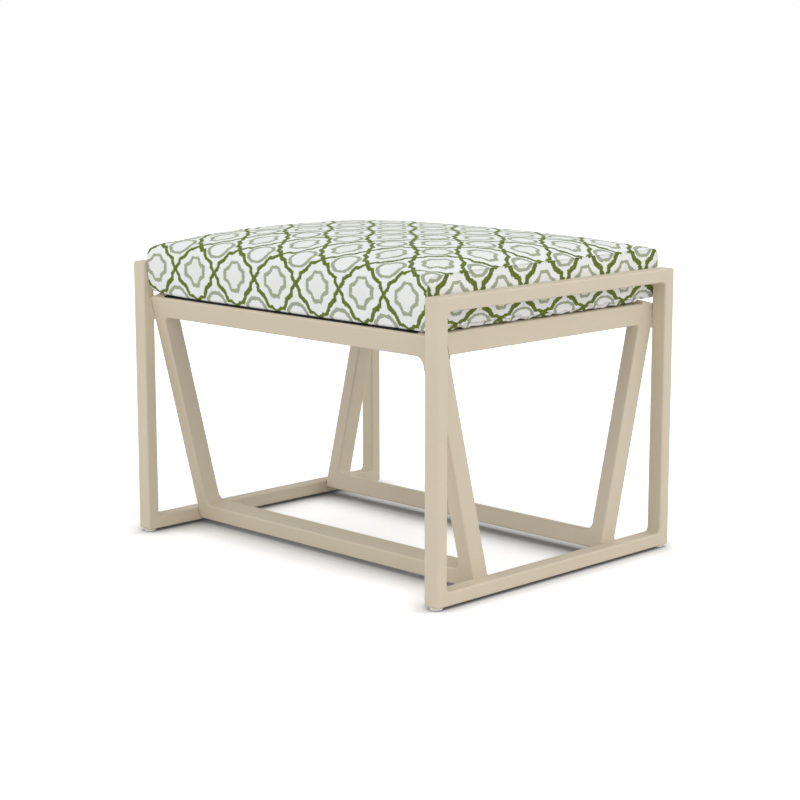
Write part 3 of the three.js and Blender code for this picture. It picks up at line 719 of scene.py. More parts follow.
@dataclass
class SideLoops:
    """The two upright side loops, with the glides under their corners."""

    overall_width: float = 648.0
    overall_depth: float = 504.0
    floor_gap: float = 4.0
    height: float = 420.0
    tube_width: float = 25.0
    tube_depth: float = 20.0
    outer_radius: float = 3.6
    inner_radius: float = 7.0
    glide_inset: float = 11.0
    glide_profile: tuple = (  # radius and height: the button, then the stem
        *((6.9, 0.0), (7.8, 0.15), (8.7, 0.7), (9.0, 1.4), (9.0, 3.2), (8.7, 3.8), (8.1, 4.0)),
        *((4.0, 4.0), (3.9, 4.2), (3.9, 15.2), (3.4, 16.0)),
    )

    def loop(self) -> TubeLoop:
        """Returns one loop in its own plane: x along the stool's Y, y up."""
        half, tube = self.overall_depth / 2, self.tube_depth
        low, high = self.floor_gap, self.floor_gap + self.height
        return TubeLoop(
            (-half, low, half, high),
            (tube - half, low + tube, half - tube, high - tube),
            self.tube_width,
            self.outer_radius,
            self.inner_radius,
        )

    def build(self) -> None:
        """Makes both loops. A point (x, y, z) of the loop goes to (side face + z, x, y)."""
        grid = self.loop().grid()
        start = self.overall_width / 2 - self.tube_width
        for side in Side:
            x = side.value * (start + grid[..., 2])
            members = ("front_post", "back_post", "top_rail", "bottom_rail")
            make_piece(
                f"{side.across}_side_loop",
                torus_surface(np.stack([x, grid[..., 0], grid[..., 1]], axis=-1)),
                PowderCoat(),
                Body.FRAME,
                [f"{side.across}_loop_{member}" for member in members],
            )
        for side in Side:
            for end in Side:
                name = f"{side.across}_{end.deep}_glide"
                button = self.glide(side, end)
                make_piece(f"{name}_button", button, MouldedNylon(), Body.FRAME, [name])

    def glide(self, side: Side, end: Side) -> Surface:
        """Makes a glide: a profile of radius and height, turned about its upright axis."""
        profile = np.array(self.glide_profile)
        x = side.value * (self.overall_width - self.tube_width) / 2
        y = end.value * (self.overall_depth / 2 - self.glide_inset)
        flat = profile[:, None, :1] * ellipse(1, 1, 40) + (x, y)
        height = np.broadcast_to(profile[:, 1, None, None], (*flat.shape[:2], 1))
        return capped_surface(np.concatenate([flat, height], axis=2))


@dataclass
class SeatBase:
    """Two leaning loops of tube, wide apart at the seat, with level side rails between them."""

    half_width: float = 298.8
    lean: float = math.radians(14)
    face_length: float = 374.0
    top_setback: float = 241.0  # the top outer edge's Y
    foot_height: float = 7.0
    tube_depth: float = 30.0
    leg_width: float = 24.0
    rail_height: float = 32.0
    stretcher_height: float = 26.0
    outer_radius: float = 3.0
    inner_radius: float = 11.0
    side_rail_width: float = 24.0
    side_rail_top: float = 371.9
    side_rail_height: float = 31.0
    fillet: float = 6.0
    overlap: float = 0.6  # how far a side rail runs into the leaning loops
    edge_radius: float = 2.2

    @property
    def foot_setback(self) -> float:
        """The outer face's Y at its foot."""
        return self.top_setback - self.face_length * math.sin(self.lean)

    def on_face(self, up: np.ndarray, inward: np.ndarray) -> tuple[np.ndarray, np.ndarray]:
        """Returns distance from the middle and height of a point of a leaning loop.

        The outer face leans by the angle l, so distance = foot + up sin l - inward cos l and
        height = foot height + up cos l + inward sin l.
        """
        sine, cosine = math.sin(self.lean), math.cos(self.lean)
        return (
            self.foot_setback + up * sine - inward * cosine,
            self.foot_height + up * cosine + inward * sine,
        )

    def loop(self) -> TubeLoop:
        """Returns one leaning loop in its own plane."""
        half, side = self.half_width, self.leg_width
        return TubeLoop(
            (-half, 0, half, self.face_length),
            (side - half, self.stretcher_height, half - side, self.face_length - self.rail_height),
            self.tube_depth,
            self.outer_radius,
            self.inner_radius,
        )

    def build(self) -> None:
        """Makes the leaning loops and the side rails."""
        grid = self.loop().grid()
        away, height = self.on_face(grid[..., 1], grid[..., 2])
        for end in Side:
            members = ("seat_rail", "left_leg", "right_leg", "floor_stretcher")
            make_piece(
                f"{end.deep}_leaning_loop",
                torus_surface(np.stack([grid[..., 0], end.value * away, height], axis=-1)),
                PowderCoat(),
                Body.FRAME,
                [f"{end.deep}_{member}" for member in members],
            )
        for side in Side:
            name, rail = f"{side.across}_side_rail", self.side_rail(side)
            make_piece(name, rail, PowderCoat(), Body.FRAME, [f"{side.across}_seat_rail"])

    def side_rail(self, side: Side) -> Surface:
        """Makes a side rail as rounded sections along Y.

        A section at the distance d from an end lies on the plane y = reach(z) - d, where reach
        is the leaning loop's inner face. Its lower part drops by r - sqrt(r^2 - (r - d)^2)
        within the fillet's radius r, and the drop fades out towards its top.
        """
        half, top, radius = self.side_rail_width / 2, self.side_rail_top, self.fillet
        box = (-half, top - self.side_rail_height, half, top)
        ring = rounded_outline(box, (self.edge_radius,) * 4, 5)
        x = ring[:, 0] + side.value * (self.half_width - half)
        near = np.array([0.0, 0.15, 0.5, 1.0, 1.8, 2.8, 4.0, 5.2, radius, 2 * radius])
        near = np.concatenate([[-self.overlap], near])
        inner = np.clip(radius - near, 0, radius)
        drop = radius - np.sqrt(np.maximum(radius**2 - inner**2, 0))
        flat_top, fading = 8, 10  # mm down from the top where the drop starts and is whole
        share = np.clip((top - flat_top - ring[:, 1]) / fading, 0, 1)
        height = ring[:, 1] - drop[:, None] * share
        y = self.reach(height) - near[:, None]
        rows = np.stack([np.broadcast_to(x, y.shape), y, height], axis=-1)
        return capped_surface(np.concatenate([rows, rows[::-1] * (1, -1, 1)]))

    def reach(self, height: np.ndarray) -> np.ndarray:
        """Returns the Y of the back loop's inner face at a height."""
        rise = self.foot_height + self.face_length * math.cos(self.lean) - height
        return self.top_setback - rise * math.tan(self.lean) - self.tube_depth / math.cos(self.lean)


@dataclass
class WeldBeads:
    """Small weld beads where the leaning loops meet the side loops."""

    base: SeatBase
    radius: float = 1.1
    ripple: float = 0.12  # share of the radius that comes and goes along a bead
    ripple_turn: float = 1.9  # radians of ripple from step to step
    tip: float = 0.35  # share of the radius at a bead's two ends
    face_x: float = 299.0
    post_face: float = 232.0
    lower_rail_top: float = 24.0
    top_clear: float = 2.0  # mm that a bead down a post stops short of the top edge
    upper_steps: int = 26
    lower_steps: int = 22

    def build(self) -> None:
        """Makes the beads: a round ring with a rippled radius, carried along each joint."""
        joints = [
            path
            for side in Side
            for end in Side
            for path in (self.upper(side, end), self.lower(side, end))
        ]
        whole = self.bead(joints[0])
        for path in joints[1:]:
            whole = whole.joined(self.bead(path))
        make_piece("weld_beads", whole, PowderCoat(), Body.FRAME)

    def bead(self, path: np.ndarray) -> Surface:
        """Makes one bead: radius * (1 + ripple * sin(turn * step)), small at both ends."""
        swell = 1 + self.ripple * np.sin(np.arange(len(path)) * self.ripple_turn)
        swell[[0, -1]] = self.tip
        ring = ellipse(self.radius, self.radius, 10)[None] * swell[:, None, None]
        return capped_surface(carried_ring(path, ring, np.array([1.0, 0, 0])))

    def upper(self, side: Side, end: Side) -> np.ndarray:
        """Returns the joint down a post: along the leaning outer face, above the post's back."""
        rise = (self.base.top_setback - self.post_face) / math.sin(self.base.lean)
        top = self.base.face_length
        up = np.linspace(top - rise, top - self.top_clear, self.upper_steps)
        away, height = self.base.on_face(up, np.zeros_like(up))
        x = np.full_like(up, side.value * self.face_x)
        return np.stack([x, end.value * away, height], axis=1)

    def lower(self, side: Side, end: Side) -> np.ndarray:
        """Returns the joint over a lower rail: level, from the leg's outer to its inner face."""
        up = (self.lower_rail_top - self.base.foot_height) / math.cos(self.base.lean)
        near, _ = self.base.on_face(np.array(up), np.array(0.0))
        span = self.base.tube_depth / math.cos(self.base.lean)
        away = np.linspace(near, near - span, self.lower_steps)
        x = np.full_like(away, side.value * self.face_x)
        return np.stack([x, end.value * away, np.full_like(away, self.lower_rail_top)], axis=1)


@dataclass
class SlingDeck:
    """A sheet of sling cloth from rail to rail, turned over each into its slot."""

    base: SeatBase
    half_width: float = 270.0
    thickness: float = 1.2
    clear: float = 0.3  # between the cloth and the rails
    slot_inset: float = 5.0
    slot_depth: float = 6.0  # how far the cloth goes down into a slot
    flat_half: float = 190.0  # half of the stretch whose points lie evenly

    def path(self) -> np.ndarray:
        """Returns the cloth's middle line in Y and Z, from the front slot to the back slot.

        Over a rail it has five points: in the slot, at its mouth, turned over it, and two on
        the rail's top, each given by how far inward and how far out of the top face it lies.
        """
        lift = self.clear + self.thickness / 2
        inset, face, depth = self.slot_inset, self.base.face_length, self.base.tube_depth
        inward = np.array([inset, inset, inset + 1.2, 18.0, 27.0])
        out = np.array([-self.slot_depth, -0.4, lift * 0.9, lift, lift])
        away, height = self.base.on_face(face + out, inward)
        _, top = self.base.on_face(np.array(face), np.array(depth))
        bend, _ = self.base.on_face(np.array(face + lift), np.array(depth))
        level = np.linspace(self.flat_half, 20, 12)
        half_y = np.concatenate([away, [bend - 1.5, bend - 6], level])
        half_z = np.concatenate([height, np.full(len(level) + 2, float(top) + lift)])
        front = np.stack([-half_y, half_z], axis=1)
        return np.vstack([front, front[::-1] * (-1, 1)])

    def build(self) -> None:
        """Makes the deck: the middle line thickened both ways and carried along X."""
        line = self.path()
        along = np.gradient(line, axis=0)
        along /= np.linalg.norm(along, axis=1, keepdims=True)
        normal = np.stack([-along[:, 1], along[:, 0]], axis=1) * self.thickness / 2
        ring = np.vstack([line + normal, (line - normal)[::-1]])
        grid = along_x(np.linspace(-self.half_width, self.half_width, 55), ring)
        deck = make_piece(
            "sling_cloth_deck", capped_surface(grid), SlingCloth(), Body.FRAME, ["sling_deck"]
        )


@dataclass
class Cushion:
    """The loose cushion: a crowned box whose cover is sewn at the ends and zipped at the back."""

    half_width: float = 296.2  # at the end seams
    end_bulge: float = 1.8
    reach: float = 298.2  # the furthest that the cloth may stand along X
    half_depth: float = 238.6
    face_bulge: float = 2.6
    front_belly: tuple[float, float] = (425.0, 50.0)  # the bulge's height and its half height
    back_belly: tuple[float, float] = (440.0, 60.0)
    face_power: int = 4  # how close to the front and back that bulge stays
    flare: float = 6.5  # how much further out the corners stand
    flare_terms: tuple = ((0.3, 2), (0.7, 12))  # share and power of |x/a| of its two parts
    plan_radius: float = 3.0
    bottom: float = 379.1
    rail_edge: float = 211.6  # where the rails' tops begin to slope away
    rail_slope: float = 0.249
    end_drop: float = 6.8  # the underside hangs past the sling's edges
    hang_start: float = 268.0  # X at the sling's edge
    hang_run: float = 28.0  # mm from there to the end seam
    hang_rise: float = 0.6  # share of that run over which the cloth comes down
    hang_return: tuple[float, float, float] = (0.82, 0.18, 0.85)  # start, run, share gone back
    hang_depth: float = 200.0  # Y where the hanging begins to fade
    hang_fade: float = 22.0
    under_line: float = 406.0  # height below which the underside's forms fade in
    crown_line: float = 424.0  # height above which the crown's fades in
    line_fade: float = 15.0
    lip: float = 2.8  # the hanging cloth swells out under the end seams
    lip_rise: tuple[float, float] = (0.5, 0.33)  # start and run, as shares of hang_run
    lip_return: tuple[float, float] = (0.83, 0.17)
    gather_top: float = 394.0
    gather_height: float = 16.0
    gathered: float = 11.0  # mm of cloth taken up in the gathers at the foot of an end
    seam: float = 450.4
    top_radius: float = 8.0
    bottom_radius: float = 4.5
    crown: float = 27.4
    crown_inset: float = 0.5  # mm inside the end seams where the crown has fallen to nothing
    crown_half_depth: float = 236.0
    crown_across: tuple[float, float] = (3.5, 0.67)  # powers of the crown's fall to the ends
    crown_front: tuple[float, float] = (3.4, 0.95)
    crown_back: tuple[float, float] = (2.3, 0.55)
    lifts: tuple = ((6.0, 6.0), (1.5, 6.0))  # lower corners, left then right, front then back
    sags: tuple = ((5.0, 2.0), (3.5, 0.0))  # upper corners
    lift_powers: tuple[int, int] = (10, 8)  # of |x/a| and |y/b|: how close to a corner it stays
    sag_powers: tuple[int, int] = (14, 8)
    slack: float = 2.0  # how much smaller the cloth starts before it is filled
    travel: float = 1.6  # how far a wrinkle may stand off the filled form
    wrinkle_rounds: int = 14  # how broadly the swelling is averaged away
    seam_sink: float = 0.4
    pucker_reach: float = 8.0  # mm from a seam over which the gathers die away
    pucker_clear: float = 1.5  # mm beside the seam that stay smooth
    pucker_slant: float = 1.7  # how many times faster the waves run up than along Y
    pucker_shares: tuple[float, float] = (0.3, 1.9)  # their height all round, and more at a foot
    pucker_rise: float = 4.0  # mm that the gathers reach above the cloth they take up
    on_end: float = 0.3  # mm from the seam's plane within which a point lies on an end
    pucker_waves: tuple = ((3.9, 1.0, 0.0), (6.3, 0.7, 1.1), (2.7, 0.5, 2.3))
    scallop: float = 1.1  # how far the gathers lift the foot of each end
    scallop_reach: float = 9.0
    scallop_waves: tuple = ((5.1, 1.0, 0.6), (2.9, 0.6, 0.0))
    rail_top: float = 372.0  # the lowest that a gather may hang
    flat_cells: int = 80
    side_cells: int = 14
    end_cells: int = 96
    print_row: float = 418.6  # height of a row of crossings on the front
    face_margin: float = 20.0  # mm above and below that row which are the front's own
    print_column: float = 79.8  # X of the middle of a drawn-in cell
    end_print_row: float = 416.0
    end_print_column: float = -9.5
    end_bolder: float = 0.35  # the ends are cut where the lattice is printed heavier
    zip_half_length: float = 236.0
    zip_height: float = 415.0
    zip_half_height: float = 6.5
    zip_fades: tuple[float, float] = (12.0, 9.0)  # mm over which its seat eases out, X and Z
    zip_seat: float = 239.3

    def outline(self) -> tuple[np.ndarray, np.ndarray]:
        """Returns the plain section's ring in Y and Z and its length so far at each point.

        The ring starts at the lower back corner and runs along the bottom to the front, up,
        over the top and down the back. Each side is split evenly between corner middles.
        """
        half = self.half_depth
        radii = (self.bottom_radius, self.bottom_radius, self.top_radius, self.top_radius)
        dense = rounded_outline((-half, self.bottom, half, self.seam), radii, 64) * (-1, 1)
        turn = len(dense) // 4
        dense = np.roll(dense, -turn // 2, axis=0)
        dense = np.vstack([dense, dense[:1]])
        length = path_length(self.shaped(np.zeros(len(dense)), *dense.T))
        middles = [0, turn, 2 * turn, 3 * turn, 4 * turn]
        cells = (self.flat_cells, self.side_cells) * 2
        stops = [
            np.linspace(length[first], length[last], count, endpoint=False)
            for first, last, count in zip(middles, middles[1:], cells)
        ]
        place = np.concatenate(stops)
        ring = np.stack([np.interp(place, length, dense[:, axis]) for axis in (0, 1)], axis=1)
        return ring, np.concatenate([place, length[-1:]])

    def shaped(self, x: np.ndarray, y: np.ndarray, z: np.ndarray) -> np.ndarray:
        """Bends the plain box into the cushion's form.

        The top rises by crown * (1 - |x/a|^m)^n * (1 - |y/b|^p)^q, with one p and q towards
        the front and another towards the back. The front and back bulge by
        bulge * (1 - ((z - c) / h)^2) * |y/b|^k and flare at their ends, the upright corners are
        rounded, the underside drops along the sloping rails and past the sling's edges, the
        lower corners lift and the upper ones sag, and the cloth swells out under the end seams.
        """
        across = np.clip(np.abs(x / (self.half_width - self.crown_inset)), 0, 1)
        along = np.clip(np.abs(y / self.crown_half_depth), 0, 1)
        fall, forward, rearward = (
            (1 - share**inner) ** outer
            for share, (inner, outer) in (
                (across, self.crown_across),
                (along, self.crown_front),
                (along, self.crown_back),
            )
        )
        crown = self.crown * fall * np.where(y < 0, forward, rearward)
        corner = (x > 0).astype(int), (y > 0).astype(int)
        sag, lift = (
            np.array(corners)[corner] * across**end * along**face
            for corners, (end, face) in (
                (self.sags, self.sag_powers),
                (self.lifts, self.lift_powers),
            )
        )
        crown = crown - sag
        past = (np.abs(x) - self.hang_start) / self.hang_run
        start, run, share = self.hang_return
        hang = eased(past / self.hang_rise) * (1 - share * eased((past - start) / run))
        hang = hang * (1 - eased((np.abs(y) - self.hang_depth) / self.hang_fade))
        drop = self.rail_slope * np.maximum(np.abs(y) - self.rail_edge, 0) + self.end_drop * hang
        belly, spread = (
            np.where(y < 0, front, back) for front, back in zip(self.front_belly, self.back_belly)
        )
        flare = self.flare * sum(share * across**power for share, power in self.flare_terms)
        face = (self.face_bulge + flare) * (1 - ((z - belly) / spread) ** 2)
        face = face * along**self.face_power
        radius = self.plan_radius
        beyond = np.clip(np.abs(x) - (self.half_width + self.end_bulge - radius), 0, radius)
        round_off = radius - np.sqrt(radius**2 - beyond**2)
        side = y * (1 + (face - round_off) / self.half_depth)
        sink = np.clip((self.under_line - z) / self.line_fade, 0, 1)
        rise = eased((z - self.crown_line) / self.line_fade)
        height = z + rise * crown + sink * (lift - drop)
        out, back = (eased((past - start) / run) for start, run in (self.lip_rise, self.lip_return))
        swell = out * (1 - back) * self.foot(height)
        return np.stack([x + np.sign(x) * self.lip * swell, side, height], axis=-1)

    def foot(self, height: np.ndarray) -> np.ndarray:
        """Returns 0 above the gathers at the foot of an end and 1 at its lower seam."""
        return np.clip((self.gather_top - height) / self.gather_height, 0, 1)

    def stations(self) -> np.ndarray:
        """Returns the wrap's places along X, with four close together at each seam."""
        inner = np.linspace(-self.half_width + 15, self.half_width - 15, self.end_cells)
        edge = self.half_width - np.array([0.0, 2.0, 5.0, 9.5])
        return np.concatenate([-edge, inner, edge[::-1]])

    def four_sides(self, ring: np.ndarray) -> tuple[np.ndarray, ...]:
        """Splits an end outline at its corners.

        Args:
            ring: points, or their numbers, round the outline.

        Returns:
            The lower, front, upper and back sides, each running to the front or upwards.
        """
        flat, tall = self.flat_cells, self.side_cells
        closed = np.concatenate([ring, ring[:1]])
        return (
            closed[: flat + 1],
            closed[flat : flat + tall + 1],
            closed[flat + tall : 2 * flat + tall + 1][::-1],
            closed[2 * flat + tall :][::-1],
        )

    def cap(self, ring: np.ndarray, side: Side) -> np.ndarray:
        """Fills an end outline with a blended grid and bulges it outwards.

        A point is the sum of the blends between opposite sides less the blend of the corners,
        and it stands out by bulge * sqrt((1 - u^6)(1 - v^2)).
        """
        low, front, high, back = self.four_sides(ring)
        u = np.linspace(0, 1, len(low))[:, None, None]
        v = np.linspace(0, 1, len(back))[None, :, None]
        blend = (1 - v) * low[:, None] + v * high[:, None] + (1 - u) * back[None] + u * front[None]
        corners = (1 - u) * (1 - v) * low[0] + u * (1 - v) * low[-1]
        corners = corners + (1 - u) * v * high[0] + u * v * high[-1]
        grid = blend - corners
        edge_u, edge_v = 2 * u[..., 0] - 1, 2 * v[..., 0] - 1
        dome = np.sqrt(np.clip((1 - edge_u**6) * (1 - edge_v**2), 0, 1))
        grid[..., 0] = side.value * (self.half_width + self.end_bulge * dome)
        return grid

    def cap_index(self, edge: np.ndarray, start: int) -> np.ndarray:
        """Returns the point numbers of an end's grid: the wrap's own on its edge, new inside."""
        index = np.full((self.flat_cells + 1, self.side_cells + 1), -1)
        index[:, 0], index[-1, :], index[:, -1], index[0, :] = self.four_sides(edge)
        inner = index < 0
        index[inner] = start + np.arange(inner.sum())
        return index

    def wrap_print(
        self, wrap: np.ndarray, faces: np.ndarray, ring: np.ndarray, length: np.ndarray
    ) -> np.ndarray:
        """Lays the print on the wrap by the cloth's own length both ways.

        Args:
            wrap: the wrap's grid of points.
            faces: the point numbers of its faces.
            ring: the plain section's Y and Z.
            length: the length so far round the section, with the closing point.

        Returns:
            The print's cells, shape (faces, 4, 2).
        """
        columns = len(ring)
        paces = np.linalg.norm(np.diff(wrap, axis=0), axis=2).cumsum(axis=0)
        across = np.vstack([np.zeros(columns), paces])
        across -= across[-1] / 2
        across = np.column_stack([across, across[:, 0]])
        nearby = np.abs(ring[:, 1] - self.print_row) < self.face_margin
        front = np.flatnonzero((ring[:, 0] < 0) & nearby)
        up = length - np.interp(self.print_row, ring[front, 1], length[front])
        cells = Print.cells(across - self.print_column, up)
        row, column = faces // columns, faces % columns
        closing = (column == 0) & (column.max(axis=1, keepdims=True) == columns - 1)
        return cells[row, np.where(closing, columns, column)]

    def end_print(self, grid: np.ndarray, side: Side) -> np.ndarray:
        """Lays the print on an end, with the cloth that its gathers take up left out."""
        _, y, z = grid.reshape(-1, 3).T
        taken = self.gathered * self.foot(z) ** 2
        across = side.value * y - self.end_print_column
        return Print.cells(across, z - taken - self.end_print_row)

    def build(self) -> None:
        """Makes the cover: the wrap's grid with a blended grid over each end."""
        ring, length = self.outline()
        stations = self.stations()
        rows, columns = len(stations), len(ring)
        wrap = self.shaped(*np.broadcast_arrays(stations[:, None], *ring.T))
        points, faces = [wrap.reshape(-1, 3)], [grid_faces(rows, columns, False, True)]
        cells = [self.wrap_print(wrap, faces[0], ring, length)]
        start = rows * columns
        for side, row in ((Side.LOW, 0), (Side.HIGH, rows - 1)):
            grid = self.cap(wrap[row], side)
            index = self.cap_index(np.arange(columns) + row * columns, start)
            points.append(grid[index >= start])
            start += len(points[-1])
            quads = grid_faces(*index.shape, False, False)[:, :: side.value]
            faces.append(index.ravel()[quads])
            cells.append(self.end_print(grid, side)[quads])
        surface = Surface(np.vstack(points), np.vstack(faces).tolist())
        first = surface.faces[0]
        turned = surface.outward().faces[0] != first
        names = ["cover_wrap", "cover_left_end", "cover_right_end"]
        names += ["foam_core", "upper_fibre_pad", "lower_fibre_pad"]
        piece = make_piece("cushion_cover", surface, PrintedCanvas(), Body.CUSHION, names)
        Print.lay(piece, np.vstack(cells)[:, :: -1 if turned else 1])
        bolder = piece.data.attributes.new(Print.BOLDER_NAME, "FLOAT", "CORNER")
        shares = np.zeros((len(surface.faces), 4), np.float32)
        shares[len(faces[0]) :] = self.end_bolder
        bolder.data.foreach_set("value", shares.ravel())
        self.fill(piece, rows, columns)
        rounding = piece.modifiers.new("soft_cloth", "SUBSURF")
        rounding.levels = rounding.render_levels = 1

    def fill(self, piece: bpy.types.Object, rows: int, columns: int) -> None:
        """Fills the cover by a cloth simulation, then seats its seams and its zip.

        The simulated cloth's wrinkles are kept, as how far it stands off its own average over
        the points round about, and its swelling as a whole is left out.

        Args:
            piece: the cover.
            rows: the wrap's stations along X.
            columns: the points round the wrap.
        """
        mesh = piece.data
        count = len(mesh.vertices)
        form = get_points(mesh)
        normal = vertex_normals(mesh)
        seam = np.zeros(count, bool)
        seam[:columns] = True
        seam[(rows - 1) * columns : rows * columns] = True
        small = form - normal * self.slack
        set_points(mesh, small)
        stand = np.einsum("ij,ij->i", inflated(piece, seam) - small, normal)
        wrinkle = stand - smoothed(mesh, stand, self.wrinkle_rounds)
        form = form + normal * (self.travel * np.tanh(wrinkle / self.travel))[:, None]
        set_points(mesh, form)
        normal = vertex_normals(mesh)
        form = form - normal * (self.seam_sink * seam)[:, None]
        form = self.puckered(form, normal)
        form[:, 0] = np.clip(form[:, 0], -self.reach, self.reach)
        set_points(mesh, self.zip_pressed(form))

    def puckered(self, points: np.ndarray, normal: np.ndarray) -> np.ndarray:
        """Gathers the cloth beside the end seams, most of all at the foot of each end.

        A point moves along its normal, and at the foot of an end up and down too, by sums of
        sines of its way round the section that fade with its distance from the seam.
        """
        way = points[:, 1] + self.pucker_slant * points[:, 2]
        wave = waves(way, self.pucker_waves)
        gap = self.half_width - np.abs(points[:, 0])
        over_foot = points[:, 2] - self.gather_top + self.gather_height
        gap = np.where(gap < self.on_end, np.maximum(over_foot, 0), gap)
        fade = np.exp(-gap / self.pucker_reach) * (1 - np.exp(-gap / self.pucker_clear))
        low = self.foot(points[:, 2] - self.pucker_rise)
        all_round, at_foot = self.pucker_shares
        moved = points + normal * (wave * fade * (all_round + at_foot * low))[:, None]
        lift = self.scallop * waves(way, self.scallop_waves) * eased(low)
        moved[:, 2] += lift * np.exp(-gap / self.scallop_reach)
        moved[:, 2] = np.maximum(moved[:, 2], self.rail_top)
        return moved

    def zip_pressed(self, points: np.ndarray) -> np.ndarray:
        """Presses the back in to a straight seat for the zip, easing out round it."""
        x, y, z = points.T
        fade_x, fade_z = self.zip_fades
        past_x = np.clip((np.abs(x) - self.zip_half_length) / fade_x, 0, 1)
        past_z = np.clip((np.abs(z - self.zip_height) - self.zip_half_height) / fade_z, 0, 1)
        at_back = y > self.rail_edge
        hold = eased((1 - past_x) * (1 - past_z) * at_back)
        pressed = points.copy()
        pressed[:, 1] = y + (np.minimum(y, self.zip_seat) - y) * hold
        return pressed


def eased(share: np.ndarray) -> np.ndarray:
    """Returns 3 s^2 - 2 s^3 of a share held between 0 and 1."""
    held = np.clip(share, 0, 1)
    return held * held * (3 - 2 * held)


def waves(way: np.ndarray, terms: Sequence[tuple[float, float, float]]) -> np.ndarray:
    """Returns the sum of height * sin(way / length + shift) over (length, height, shift)."""
    return sum(height * np.sin(way / length + shift) for length, height, shift in terms)


def path_length(path: np.ndarray) -> np.ndarray:
    """Returns the length so far at each point of a path."""
    return np.concatenate([[0], np.cumsum(np.linalg.norm(np.diff(path, axis=0), axis=1))])


def get_points(mesh: bpy.types.Mesh) -> np.ndarray:
    """Returns a mesh's points in millimetres."""
    found = np.empty(len(mesh.vertices) * 3)
    mesh.vertices.foreach_get("co", found)
    return found.reshape(-1, 3) / MM


def smoothed(mesh: bpy.types.Mesh, values: np.ndarray, rounds: int) -> np.ndarray:
    """Averages one value a point with those of its neighbours, several times over."""
    ends = np.empty(len(mesh.edges) * 2, int)
    mesh.edges.foreach_get("vertices", ends)
    first, second = ends.reshape(-1, 2).T
    count = len(values)
    near = np.bincount(first, minlength=count) + np.bincount(second, minlength=count) + 1
    for _ in range(rounds):
        total = values + np.bincount(first, values[second], count)
        values = (total + np.bincount(second, values[first], count)) / near
    return values


def vertex_normals(mesh: bpy.types.Mesh) -> np.ndarray:
    """Returns a mesh's unit normals, one for each point."""
    found = np.empty(len(mesh.vertices) * 3)
    mesh.vertex_normals.foreach_get("vector", found)
    return found.reshape(-1, 3)


def set_points(mesh: bpy.types.Mesh, points: np.ndarray) -> None:
    """Moves a mesh's points to places given in millimetres."""
    mesh.vertices.foreach_set("co", (points * MM).astype(np.float32).ravel())
    mesh.update()


def inflated(piece: bpy.types.Object, gathered: np.ndarray) -> np.ndarray:
    """Runs a cloth simulation with air pressure inside a closed piece.

    Args:
        piece: the closed cover.
        gathered: which points lie on a seam that draws the cloth together.

    Returns:
        The points in millimetres when the cloth has filled.
    """
    frames = 20
    scene = bpy.context.scene
    group = piece.vertex_groups.new(name="gathered")
    group.add(np.flatnonzero(gathered).tolist(), 1.0, "REPLACE")
    modifier = piece.modifiers.new("filling", "CLOTH")
    cloth = modifier.settings
    cloth.quality = 6
    cloth.mass = 0.3
    cloth.tension_stiffness = cloth.compression_stiffness = 15
    cloth.bending_stiffness = 0.4
    cloth.use_pressure = True
    cloth.uniform_pressure_force = 4
    cloth.effector_weights.gravity = 0
    cloth.vertex_group_shrink = group.name
    cloth.shrink_min, cloth.shrink_max = 0.0, 0.03
    modifier.collision_settings.use_collision = False
    modifier.point_cache.frame_start, modifier.point_cache.frame_end = 1, frames
    for frame in range(1, frames + 1):
        scene.frame_set(frame)
    evaluated = piece.evaluated_get(bpy.context.evaluated_depsgraph_get())
    found = np.empty(len(piece.data.vertices) * 3)
    evaluated.data.vertices.foreach_get("co", found)
    piece.modifiers.remove(modifier)
    piece.vertex_groups.remove(group)
    scene.frame_set(1)
    return found.reshape(-1, 3) / MM


